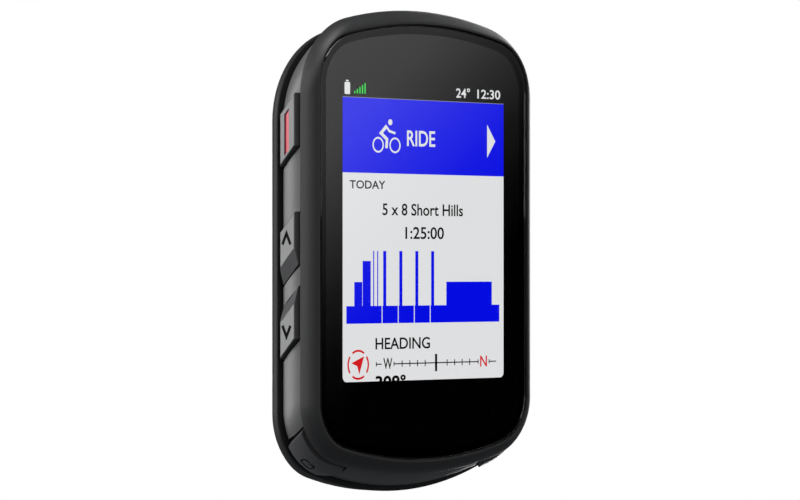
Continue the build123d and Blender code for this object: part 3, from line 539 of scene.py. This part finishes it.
def lit_pixels_group():
    """A lit colour through the panel's fine grid of cells, and a slow unevenness of the backlight."""
    group, made, links, given, result = new_group(
        "lit_pixels",
        [("Colour", "Color", (1.0, 1.0, 1.0, 1.0)), ("Pixels per metre", "Float", 6130.0),
         ("Grid depth", "Float", 0.05), ("Unevenness", "Float", 0.04)],
        [("Colour", "Color")],
    )
    place = made.new("ShaderNodeTexCoord")
    scaled = made.new("ShaderNodeVectorMath")
    scaled.operation = "SCALE"
    links.new(place.outputs["Object"], scaled.inputs[0])
    links.new(given.outputs["Pixels per metre"], scaled.inputs["Scale"])
    cells = made.new("ShaderNodeVectorMath")
    cells.operation = "FRACTION"
    links.new(scaled.outputs["Vector"], cells.inputs[0])
    axes = made.new("ShaderNodeSeparateXYZ")
    links.new(cells.outputs["Vector"], axes.inputs["Vector"])
    gaps = []
    for axis in ("X", "Z"):
        gap = made.new("ShaderNodeMath")
        gap.operation = "LESS_THAN"
        gap.inputs[1].default_value = 0.12
        links.new(axes.outputs[axis], gap.inputs[0])
        gaps.append(gap)
    either = made.new("ShaderNodeMath")
    either.operation = "MAXIMUM"
    links.new(gaps[0].outputs["Value"], either.inputs[0])
    links.new(gaps[1].outputs["Value"], either.inputs[1])
    darker = made.new("ShaderNodeMath")
    darker.operation = "MULTIPLY"
    links.new(either.outputs["Value"], darker.inputs[0])
    links.new(given.outputs["Grid depth"], darker.inputs[1])
    cloud = made.new("ShaderNodeTexNoise")
    cloud.inputs["Scale"].default_value = 25.0
    links.new(place.outputs["Object"], cloud.inputs["Vector"])
    uneven = made.new("ShaderNodeMath")
    uneven.operation = "MULTIPLY_ADD"
    links.new(cloud.outputs["Fac"], uneven.inputs[0])
    links.new(given.outputs["Unevenness"], uneven.inputs[1])
    links.new(darker.outputs["Value"], uneven.inputs[2])
    left = made.new("ShaderNodeMath")
    left.operation = "SUBTRACT"
    left.inputs[0].default_value = 1.0
    links.new(uneven.outputs["Value"], left.inputs[1])
    toned = made.new("ShaderNodeVectorMath")
    toned.operation = "SCALE"
    links.new(given.outputs["Colour"], toned.inputs[0])
    links.new(left.outputs["Value"], toned.inputs["Scale"])
    links.new(toned.outputs["Vector"], result.inputs["Colour"])
    return group


lit_pixels = lit_pixels_group()


def lit_colour(name, tone):
    """A lit part of the picture, in one colour."""
    material, made, links, shader = node_material(name)
    pixels = made.new("ShaderNodeGroup")
    pixels.node_tree = lit_pixels
    pixels.inputs["Colour"].default_value = (tone[0], tone[1], tone[2], 1.0)
    links.new(pixels.outputs["Colour"], shader.inputs["Emission Color"])
    shader.inputs["Emission Strength"].default_value = 1.0
    shader.inputs["Base Color"].default_value = (0.0, 0.0, 0.0, 1.0)
    shader.inputs["Roughness"].default_value = 0.8
    shader.inputs["Specular IOR Level"].default_value = 0.0
    return material


lit_white = lit_colour("lit_white", (0.84, 0.85, 0.86))
lit_grey = lit_colour("lit_grey", (0.30, 0.30, 0.36))
lit_black = lit_colour("lit_black", (0.0008, 0.0008, 0.0010))
lit_blue = lit_colour("lit_blue", (0.0012, 0.0042, 0.86))
lit_green = lit_colour("lit_green", (0.03, 0.85, 0.08))
lit_red = lit_colour("lit_red", (0.72, 0.010, 0.015))

panel_place = facing((0, PANEL_FRONT, 0), (1, 0, 0), (0, 0, 1))
panel_depth = panel_high.y - PANEL_FRONT
panel_body = thin_piece(
    "display_picture_base", draw_panel, panel_place, panel_depth, lit_black, "root"
)
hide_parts("display_panel")

# Pictures are drawn in millimetres from the middle of the lit area, each in one of two layers.
LAYER = 0.012 * MM
LAYER_SHARE = 0.8
LOW_LAYER = 1
HIGH_LAYER = 2


def picture_plane(layer):
    """The plane of one layer of the picture; higher layers lie nearer the lens."""
    return facing((0, PANEL_FRONT - LAYER * layer, PICTURE_CENTRE_Z), (1, 0, 0), (0, 0, 1))


def picture(name, draw, layer, material):
    """One drawn part of the picture."""
    thin_piece(name, draw, picture_plane(layer), LAYER * LAYER_SHARE, material, "root")


def add_face(shape, spots):
    """One flat face through spots in millimetres."""
    shape.faces.new([shape.verts.new((x * MM, z * MM, 0.0)) for x, z in spots])


def boxes(*corners):
    """A drawing of plain rectangles, each given as left, bottom, right, top in millimetres."""

    def draw(shape):
        for left, bottom, right, top in corners:
            add_face(shape, ((left, bottom), (right, bottom), (right, top), (left, top)))

    return draw


SHARPEST_MITRE = 0.35


def add_line(shape, spots, width, closed=False):
    """A flat line of one width, in millimetres, with mitred corners."""
    points = [Vector(spot) for spot in spots]
    count = len(points)
    left = []
    right = []
    for here, point in enumerate(points):
        before = points[here - 1] if closed or here > 0 else None
        after = points[(here + 1) % count] if closed or here < count - 1 else None
        coming = (point - before).normalized() if before is not None else (after - point).normalized()
        going = (after - point).normalized() if after is not None else coming
        along = (coming + going).normalized()
        across = Vector((-along.y, along.x))
        reach = width / 2 / max(SHARPEST_MITRE, across.dot(Vector((-coming.y, coming.x))))
        left_spot = (point + across * reach) * MM
        right_spot = (point - across * reach) * MM
        left.append(shape.verts.new((left_spot.x, left_spot.y, 0.0)))
        right.append(shape.verts.new((right_spot.x, right_spot.y, 0.0)))
    last = count if closed else count - 1
    for here in range(last):
        there = (here + 1) % count
        shape.faces.new((left[here], right[here], right[there], left[there]))


def arc_spots(x, z, radius, start, end, steps=28):
    """Points along an arc, from start to end in degrees."""
    turns = [math.radians(start + (end - start) * step / steps) for step in range(steps + 1)]
    return [(x + radius * math.cos(turn), z + radius * math.sin(turn)) for turn in turns]


HALF_W = 20.05
HALF_H = 26.25
STATUS_Z = 22.9
HEADER_LOW = 9.9
HEADER_LINE = 0.09
BOTTOM_CORNER = 0.9


def draw_page(shape):
    """The page: square at the header, rounded at its lower corners."""
    corner_x = -HALF_W + BOTTOM_CORNER
    corner_z = -HALF_H + BOTTOM_CORNER
    left = [(-HALF_W, HEADER_LOW)] + arc_spots(corner_x, corner_z, BOTTOM_CORNER, 180, 270, 6)
    right = [(-x, z) for x, z in reversed(left)]
    add_face(shape, left + right)


picture("page_white", draw_page, LOW_LAYER, lit_white)
picture("header_blue", boxes((-HALF_W, HEADER_LOW, HALF_W, STATUS_Z)), LOW_LAYER, lit_blue)
picture("header_line", boxes((-HALF_W, STATUS_Z, HALF_W, STATUS_Z + HEADER_LINE)), LOW_LAYER, lit_grey)


def draw_battery(shape):
    rounded_rectangle(shape, -19.5 * MM, 23.4 * MM, -18.2 * MM, 25.5 * MM, 0.2 * MM)
    rounded_rectangle(shape, -19.15 * MM, 25.6 * MM, -18.55 * MM, 25.85 * MM, 0.08 * MM)


picture("battery_sign", draw_battery, LOW_LAYER, lit_white)
SIGNAL_BARS = 5
SIGNAL_LEFT = -17.2
SIGNAL_LOW = 23.6
SIGNAL_TOP = 24.0
SIGNAL_STEP = 0.62
SIGNAL_RISE = 0.36
SIGNAL_WIDTH = 0.26
signal_bars = []
for bar in range(SIGNAL_BARS):
    bar_left = SIGNAL_LEFT + SIGNAL_STEP * bar
    signal_bars.append((bar_left, SIGNAL_LOW, bar_left + SIGNAL_WIDTH, SIGNAL_TOP + SIGNAL_RISE * bar))
picture("signal_sign", boxes(*signal_bars), LOW_LAYER, lit_green)

TEXT_WEIGHT = 0.014
NUMBER_WEIGHT = 0.03


def words(name, text, left, bottom, height, width, layer, material, cut_below=None, weight=TEXT_WEIGHT):
    """Lettering fitted to a height and width in millimetres; weight thickens its strokes."""
    letters = bpy.data.curves.new(name, "FONT")
    letters.body = text
    letters.resolution_u = 4
    letters.offset = weight
    carrier = bpy.data.objects.new(name, letters)
    bpy.context.scene.collection.objects.link(carrier)
    bpy.context.view_layer.update()
    flat = bpy.data.meshes.new_from_object(carrier)
    bpy.data.objects.remove(carrier)

    def draw(shape):
        shape.from_mesh(flat)
        xs = [vert.co.x for vert in shape.verts]
        ys = [vert.co.y for vert in shape.verts]
        across = width / (max(xs) - min(xs))
        tall = height / (max(ys) - min(ys))
        for vert in shape.verts:
            vert.co.x = (left + (vert.co.x - min(xs)) * across) * MM
            vert.co.y = (bottom + (vert.co.y - min(ys)) * tall) * MM
        if cut_below is not None:
            whole = shape.verts[:] + shape.edges[:] + shape.faces[:]
            bmesh.ops.bisect_plane(
                shape, geom=whole, plane_co=(0, cut_below * MM, 0), plane_no=(0, -1, 0), clear_outer=True
            )

    picture(name, draw, layer, material)
    bpy.data.meshes.remove(flat)


# Each line gives a name, its words, and their left, bottom, height and width.
words("temperature", "24°", 7.9, 23.7, 1.75, 3.5, LOW_LAYER, lit_white)
words("clock", "12:30", 13.3, 23.7, 1.65, 5.9, LOW_LAYER, lit_white)
words("header_word", "RIDE", -4.4, 14.8, 2.75, 7.0, HIGH_LAYER, lit_white)
words("page_label", "TODAY", -18.3, 7.15, 1.45, 8.6, HIGH_LAYER, lit_black)
words("page_line", "5 x 8 Short Hills", -10.4, 2.6, 2.1, 20.0, HIGH_LAYER, lit_black)
words("page_time", "1:25:00", -4.8, -1.5, 2.15, 9.6, HIGH_LAYER, lit_black)
words("compass_label", "HEADING", -12.1, -20.75, 2.05, 13.4, HIGH_LAYER, lit_black)
words("heading_number", "308°", -12.1, -27.7, 2.5, 7.4, HIGH_LAYER, lit_black, -HALF_H, NUMBER_WEIGHT)


WHEEL_RADIUS = 1.22
WHEEL_LINE = 0.3
BODY_LINE = 0.62
ARM_LINE = 0.42
HEAD_RADIUS = 0.52


def draw_bicycle(shape):
    """Two wheels, a rider's back and leg, an arm and a head."""
    for wheel_x in (-11.45, -7.35):
        add_line(shape, arc_spots(wheel_x, 14.85, WHEEL_RADIUS, 0, 360, 36)[:-1], WHEEL_LINE, True)
    add_line(shape, [(-9.35, 18.2), (-10.75, 16.9), (-9.3, 15.85), (-9.45, 14.3)], BODY_LINE)
    add_line(shape, [(-9.45, 18.05), (-8.75, 17.3), (-7.25, 16.95)], ARM_LINE)
    add_face(shape, arc_spots(-8.5, 18.85, HEAD_RADIUS, 0, 360, 24)[:-1])


picture("bicycle_sign", draw_bicycle, HIGH_LAYER, lit_white)


def draw_next_arrow(shape):
    add_face(shape, ((15.8, 13.2), (17.9, 16.15), (15.8, 19.1)))


picture("next_arrow", draw_next_arrow, HIGH_LAYER, lit_white)

# The effort chart: a base, two warm-up steps, thin and full sprints and one long steady block.
BASE_LOW = -16.2
BASE_HIGH = -13.15
STEADY_TOP = -9.0
WARM_UP_TOP = -5.35
SPRINT_TOP = -3.6
THIN_SPRINT = 0.24
FULL_SPRINT = 0.75
SPRINT_STEP = 3.94
REST_STEP = 3.95
REST_WIDTH = 3.75
chart = [(-19.1, BASE_LOW, -10.6, BASE_HIGH), (1.45, BASE_LOW, 18.95, BASE_HIGH)]
chart += [(-17.2, BASE_HIGH, -15.3, STEADY_TOP), (-15.2, BASE_HIGH, -13.25, WARM_UP_TOP)]
chart += [(5.4, BASE_HIGH, 17.0, STEADY_TOP)]
chart += [(x, BASE_HIGH, x + THIN_SPRINT, SPRINT_TOP) for x in (-12.66, -11.69)]
for rest in range(3):
    start = -10.4 + REST_STEP * rest
    chart.append((start, BASE_LOW, start + REST_WIDTH, BASE_HIGH))
for sprint in range(4):
    start = -10.23 + SPRINT_STEP * sprint
    chart.append((start, BASE_HIGH, start + FULL_SPRINT, SPRINT_TOP))
picture("effort_chart", boxes(*chart), HIGH_LAYER, lit_blue)

# The compass strip: a line with ticks, a bold marker and two letters, and a pointer in a broken ring.
STRIP_Z = -23.3
STRIP_HALF = 0.1
END_TICK = 0.4
TICK_HALF = 0.11
TICK = 0.55
ticks = [(left, STRIP_Z - STRIP_HALF, right, STRIP_Z + STRIP_HALF)
         for left, right in ((-11.9, -10.6), (-7.7, 13.6), (16.2, 18.1))]
ticks += [(2.55, -24.8, 3.1, -21.75)]
ticks += [(x - STRIP_HALF, STRIP_Z - END_TICK, x + STRIP_HALF, STRIP_Z + END_TICK)
          for x in (-11.9, -7.6, 13.5, 16.3)]
ticks += [(x - TICK_HALF, STRIP_Z - TICK, x + TICK_HALF, STRIP_Z + TICK)
          for x in (-5.6, -3.7, -1.8, 0.1, 5.6, 7.5, 9.4, 11.3)]
picture("compass_strip", boxes(*ticks), HIGH_LAYER, lit_black)
words("compass_west", "W", -10.2, -24.2, 1.95, 2.2, HIGH_LAYER, lit_black)
words("compass_north", "N", 14.0, -24.2, 1.95, 1.75, HIGH_LAYER, lit_red)


POINTER_X = -16.25
POINTER_RADIUS = 2.42
POINTER_ARC = 70
POINTER_LINE = 0.36


def draw_pointer(shape):
    """An arrow head in a ring of four arcs."""
    for start in (-35, 55, 145, 235):
        arc = arc_spots(POINTER_X, STRIP_Z, POINTER_RADIUS, start, start + POINTER_ARC, 12)
        add_line(shape, arc, POINTER_LINE)
    add_face(shape, ((-14.85, -21.85), (-16.0, -24.95), (-16.5, -23.55), (-17.9, -23.0)))


picture("heading_pointer", draw_pointer, HIGH_LAYER, lit_red)

# --- Keys ---------------------------------------------------------------------------------------
# Seven sprung keys in matt moulded plastic: slanted caps at the sides and curved ones at the lower
# corners. A red stripe is moulded into the power key, and the marks are printed in dull black.

KEY_GREY = (0.075, 0.075, 0.077)
STRIPE_RED = (0.56, 0.022, 0.048)
key_plastic = moulded_plastic("key_plastic", KEY_GREY, roughness=0.34, grain=11000.0, height=0.22)
key_names = ("power_key", "up_key", "down_key", "select_key", "back_key", "lap_key", "start_key")
for key in key_names:
    finish_node(key, key_plastic)
stripe_plastic = moulded_plastic("stripe_plastic", STRIPE_RED, roughness=0.38, grain=7000.0, height=0.15)
finish_node("power_key_stripe", stripe_plastic)

mark_ink = flecked_ink(
    "mark_ink", fleck_scale=6000.0, darkest=0.001, lightest=0.004, roughness=0.9, gloss_level=0.1
)
MARK_DEPTH = 0.02 * MM
MARK_RISE = 0.012 * MM
DROP_START = 4.0 * MM


def key_mark(name, draw, key, place):
    """A printed mark, each of whose points is dropped along the drawing's axis onto the key."""
    mark = thin_piece(name, draw, place, MARK_DEPTH, mark_ink, key)
    inward = -Vector(place.col[2][:3])
    key_mesh = nodes[key].data
    surface = BVHTree.FromPolygons([vert.co for vert in key_mesh.vertices],
                                   [tuple(face.vertices) for face in key_mesh.polygons])
    for vert in mark.data.vertices:
        depth = (vert.co - Vector(place.col[3][:3])).dot(inward)
        start = vert.co - inward * (depth + DROP_START)
        hit = surface.ray_cast(start, inward)[0]
        if hit is not None:
            vert.co = hit - inward * MARK_RISE + inward * depth


def split_line(spots, steps=4):
    """More points along a line, so that it can follow a curved face."""
    fine = []
    for here, there in zip(spots, spots[1:]):
        for step in range(steps):
            share = step / steps
            fine.append(tuple(a + (b - a) * share for a, b in zip(here, there)))
    return fine + [spots[-1]]


up_low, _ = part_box("up_key")
down_low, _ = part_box("down_key")
MARK_Y = up_low.y + 2.0 * MM
UPPER_MARK_Z = up_low.z + 7.9 * MM
LOWER_MARK_Z = down_low.z + 4.85 * MM
upper_left_face = facing((up_low.x, MARK_Y, UPPER_MARK_Z), (0, -1, 0), (0, 0, 1))
lower_left_face = facing((down_low.x, MARK_Y, LOWER_MARK_Z), (0, -1, 0), (0, 0, 1))
upper_right_face = facing((-up_low.x, MARK_Y, UPPER_MARK_Z), (0, 1, 0), (0, 0, 1))
lower_right_face = facing((-down_low.x, MARK_Y, LOWER_MARK_Z), (0, 1, 0), (0, 0, 1))
CHEVRON_LINE = 0.6
MARK_LINE = 0.3
RING_RADIUS = 0.85
RING_LINE = 0.32
BAR_LINE = 0.34


def draw_chevron_up(shape):
    add_line(shape, [(-1.0, -0.95), (0.0, 0.95), (1.0, -0.95)], CHEVRON_LINE)


def draw_chevron_down(shape):
    add_line(shape, [(-1.0, 0.95), (0.0, -0.95), (1.0, 0.95)], CHEVRON_LINE)


key_mark("up_mark", draw_chevron_up, "up_key", upper_left_face)
key_mark("down_mark", draw_chevron_down, "down_key", lower_left_face)


def draw_ring(shape):
    add_line(shape, arc_spots(0, 0, RING_RADIUS, 0, 360, 32)[:-1], RING_LINE, True)


def draw_back_arrow(shape):
    """An arrow head to the left, and its line bent back round a half circle."""
    add_line(shape, [(-0.2, 1.05), (-1.0, 0.35), (-0.2, -0.35)], MARK_LINE)
    bend = arc_spots(0.45, -0.25, 0.6, 90, -90, 10)
    add_line(shape, [(-1.0, 0.35), (0.45, 0.35)] + bend + [(-0.3, -0.85)], MARK_LINE)


key_mark("select_mark", draw_ring, "select_key", upper_right_face)
key_mark("back_mark", draw_back_arrow, "back_key", lower_right_face)

CORNER_MARK_SHARE = 0.62


def corner_place(key):
    """The drawing place on a corner key: it looks along the key's own travel."""
    travel = next(joint for joint in frame["joints"] if joint["child"] == key)["axis"]
    inward = Vector(travel).normalized()
    low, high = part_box(key)
    middle = (low + high) / 2
    middle.y = low.y + CORNER_MARK_SHARE * (high.y - low.y)
    return facing(middle, Vector((0, 1, 0)).cross(-inward), (0, 1, 0))


def draw_lap_mark(shape):
    """A loop with an arrow head."""
    add_line(shape, split_line([
        (0.7, -0.62), (1.0, -0.62), (1.35, -0.3), (1.35, 0.3), (1.0, 0.62),
        (-1.0, 0.62), (-1.35, 0.3), (-1.35, -0.3), (-1.0, -0.62), (-0.1, -0.62),
    ]), MARK_LINE)
    add_face(shape, ((-0.1, -1.15), (0.6, -0.62), (-0.1, -0.09)))


def draw_start_mark(shape):
    """A triangle and two bars."""
    add_face(shape, ((-1.3, -0.75), (-0.1, 0.0), (-1.3, 0.75)))
    for x in (0.45, 1.15):
        add_line(shape, split_line([(x, -0.75), (x, 0.75)]), BAR_LINE)


key_mark("lap_mark", draw_lap_mark, "lap_key", corner_place("lap_key"))
key_mark("start_mark", draw_start_mark, "start_key", corner_place("start_key"))

# --- Rubber parts -------------------------------------------------------------------------------
# The weather cap, the gaskets and the stem seals are moulded silicone rubber with a dry, dusty skin.
# The cap is pressed home by hand, and the gaskets are squeezed between the mouldings.


def rubber_skin_group():
    """A dry rubber skin: fine pits, and dust that settles on what faces up."""
    group, made, links, given, result = new_group(
        "rubber_skin",
        [("Colour", "Color", (0.03, 0.03, 0.03, 1.0)), ("Dust", "Float", 0.25),
         ("Pits per metre", "Float", 5000.0), ("Pit depth", "Float", 0.4)],
        [("Colour", "Color"), ("Roughness", "Float"), ("Normal", "Vector")],
    )
    place = made.new("ShaderNodeTexCoord")
    pits = made.new("ShaderNodeTexNoise")
    pits.inputs["Detail"].default_value = 4.0
    links.new(place.outputs["Object"], pits.inputs["Vector"])
    links.new(given.outputs["Pits per metre"], pits.inputs["Scale"])
    bump = made.new("ShaderNodeBump")
    bump.inputs["Distance"].default_value = 0.00003
    links.new(given.outputs["Pit depth"], bump.inputs["Strength"])
    links.new(pits.outputs["Fac"], bump.inputs["Height"])
    geometry = made.new("ShaderNodeNewGeometry")
    axes = made.new("ShaderNodeSeparateXYZ")
    links.new(geometry.outputs["Normal"], axes.inputs["Vector"])
    upward = made.new("ShaderNodeMapRange")
    upward.inputs["From Min"].default_value = 0.2
    links.new(axes.outputs["Z"], upward.inputs["Value"])
    drift = made.new("ShaderNodeTexNoise")
    drift.inputs["Scale"].default_value = 260.0
    drift.inputs["Detail"].default_value = 6.0
    links.new(place.outputs["Object"], drift.inputs["Vector"])
    settled = made.new("ShaderNodeMath")
    settled.operation = "MULTIPLY"
    links.new(upward.outputs["Result"], settled.inputs[0])
    links.new(drift.outputs["Fac"], settled.inputs[1])
    amount = made.new("ShaderNodeMath")
    amount.operation = "MULTIPLY"
    links.new(settled.outputs["Value"], amount.inputs[0])
    links.new(given.outputs["Dust"], amount.inputs[1])
    mixed = made.new("ShaderNodeMix")
    mixed.data_type = "RGBA"
    mixed.inputs["B"].default_value = (0.22, 0.20, 0.18, 1.0)
    links.new(amount.outputs["Value"], mixed.inputs["Factor"])
    links.new(given.outputs["Colour"], mixed.inputs["A"])
    rough = made.new("ShaderNodeMapRange")
    rough.inputs["To Min"].default_value = 0.55
    rough.inputs["To Max"].default_value = 0.8
    links.new(pits.outputs["Fac"], rough.inputs["Value"])
    links.new(mixed.outputs["Result"], result.inputs["Colour"])
    links.new(rough.outputs["Result"], result.inputs["Roughness"])
    links.new(bump.outputs["Normal"], result.inputs["Normal"])
    return group


rubber_skin = rubber_skin_group()


def skinned(name, group, tone, metal=0.0, **values):
    """A material whose colour, roughness and normal come from one surface group."""
    material, made, links, shader = node_material(name)
    skin = made.new("ShaderNodeGroup")
    skin.node_tree = group
    skin.inputs["Colour"].default_value = (tone[0], tone[1], tone[2], 1.0)
    for label, value in values.items():
        skin.inputs[label.replace("_", " ")].default_value = value
    links.new(skin.outputs["Colour"], shader.inputs["Base Color"])
    links.new(skin.outputs["Roughness"], shader.inputs["Roughness"])
    links.new(skin.outputs["Normal"], shader.inputs["Normal"])
    shader.inputs["Metallic"].default_value = metal
    return material


finish_node("weather_cap", skinned("cap_rubber", rubber_skin, (0.028, 0.028, 0.029)))
gasket_rubber = skinned("gasket_rubber", rubber_skin, (0.008, 0.008, 0.008), Dust=0.05)
for gasket in ("lens_adhesive", "case_seal", "key_seals", "usb_seal"):
    finish_node(gasket, gasket_rubber)
finish_node("battery_pad", skinned("foam_rubber", rubber_skin, (0.05, 0.05, 0.05), Pit_depth=1.0))

# --- Quarter-turn foot --------------------------------------------------------------------------
# A tougher moulding screwed into the back, which wears first where it turns in the handlebar mount.
# The contact block in its middle and the battery's lead are insulated in smooth black plastic.

foot_plastic = moulded_plastic(
    "foot_plastic", (0.030, 0.030, 0.031), roughness=0.46, grain=4500.0, height=0.55
)
finish_node("mount_insert", foot_plastic)
insulator = moulded_plastic(
    "insulator_plastic", (0.012, 0.012, 0.013), roughness=0.35, grain=9000.0, height=0.2
)
finish_node("contact_block", insulator)
finish_node("battery_lead", insulator)

# --- Metal parts --------------------------------------------------------------------------------
# Steel screws and clips, tinned shields soldered to the board, a stamped carrier behind the display
# and gold-plated contacts. The battery's pouch is laminated foil.


def worked_metal_group():
    """Metal with fine tool marks round and along it, and a slow change of gloss."""
    group, made, links, given, result = new_group(
        "worked_metal",
        [("Colour", "Color", (0.5, 0.5, 0.5, 1.0)), ("Roughness", "Float", 0.3),
         ("Marks per metre", "Float", 5000.0), ("Mark depth", "Float", 0.25)],
        [("Colour", "Color"), ("Roughness", "Float"), ("Normal", "Vector")],
    )
    place = made.new("ShaderNodeTexCoord")
    stretched = made.new("ShaderNodeMapping")
    stretched.inputs["Scale"].default_value = (1.0, 1.0, 0.06)
    links.new(place.outputs["Object"], stretched.inputs["Vector"])
    marks = made.new("ShaderNodeTexNoise")
    marks.inputs["Detail"].default_value = 3.0
    links.new(stretched.outputs["Vector"], marks.inputs["Vector"])
    links.new(given.outputs["Marks per metre"], marks.inputs["Scale"])
    bump = made.new("ShaderNodeBump")
    bump.inputs["Distance"].default_value = 0.00001
    links.new(given.outputs["Mark depth"], bump.inputs["Strength"])
    links.new(marks.outputs["Fac"], bump.inputs["Height"])
    gloss = made.new("ShaderNodeMath")
    gloss.operation = "MULTIPLY_ADD"
    gloss.inputs[1].default_value = 0.16
    links.new(marks.outputs["Fac"], gloss.inputs[0])
    links.new(given.outputs["Roughness"], gloss.inputs[2])
    tone = made.new("ShaderNodeMapRange")
    tone.inputs["To Min"].default_value = 0.85
    tone.inputs["To Max"].default_value = 1.1
    links.new(marks.outputs["Fac"], tone.inputs["Value"])
    toned = made.new("ShaderNodeVectorMath")
    toned.operation = "SCALE"
    links.new(given.outputs["Colour"], toned.inputs[0])
    links.new(tone.outputs["Result"], toned.inputs["Scale"])
    links.new(toned.outputs["Vector"], result.inputs["Colour"])
    links.new(gloss.outputs["Value"], result.inputs["Roughness"])
    links.new(bump.outputs["Normal"], result.inputs["Normal"])
    return group


worked_metal = worked_metal_group()
screw_steel = skinned("screw_steel", worked_metal, (0.30, 0.30, 0.31), metal=1.0)
for steel_part in ("case_screws", "mount_screws", "board_screws", "usb_port"):
    finish_node(steel_part, screw_steel)
for key in key_names:
    finish_node(key + "_clip", screw_steel)
tinned_steel = skinned("tinned_steel", worked_metal, (0.62, 0.62, 0.60), metal=1.0, Roughness=0.22)
for tinned_part in ("shield_cans", "radio_antenna"):
    finish_node(tinned_part, tinned_steel)
stamped_metal = skinned("stamped_metal", worked_metal, (0.55, 0.55, 0.56), metal=1.0, Roughness=0.35)
finish_node("display_carrier", stamped_metal)
contact_gold = skinned("contact_gold", worked_metal, (0.83, 0.60, 0.24), metal=1.0, Roughness=0.14)
finish_node("contact_pins", contact_gold)
cell_pouch = skinned("cell_pouch", worked_metal, (0.60, 0.60, 0.62), metal=1.0, Marks_per_metre=900.0)
finish_node("battery", cell_pouch)

# --- Electronics --------------------------------------------------------------------------------
# A circuit board in green glass laminate with small components soldered on, and flexible circuits
# in amber film that join it to the display and to the switches behind the keys.

board_laminate = moulded_plastic(
    "board_laminate", (0.012, 0.085, 0.045), roughness=0.35, grain=2500.0, height=0.4
)
finish_node("main_board", board_laminate)
flex_film = moulded_plastic("flex_film", (0.42, 0.17, 0.03), roughness=0.3, grain=3500.0, height=0.1)
for flex in ("display_flex", "switch_flex_left", "switch_flex_right"):
    finish_node(flex, flex_film)
antenna_ceramic = moulded_plastic(
    "antenna_ceramic", (0.50, 0.44, 0.36), roughness=0.55, grain=6000.0, height=0.4
)
finish_node("gnss_antenna", antenna_ceramic)
diffuser_plastic = moulded_plastic(
    "diffuser_plastic", (0.80, 0.80, 0.80), roughness=0.5, grain=8000.0, height=0.1
)
finish_node("backlight", diffuser_plastic)
membrane_film = moulded_plastic(
    "membrane_film", (0.70, 0.70, 0.70), roughness=0.8, grain=7000.0, height=0.3
)
finish_node("vent_membrane", membrane_film)
finish_node("buzzer", insulator)
switch_plastic = moulded_plastic(
    "switch_plastic", (0.03, 0.03, 0.03), roughness=0.4, grain=8000.0, height=0.2
)
finish_node("key_switches", switch_plastic)
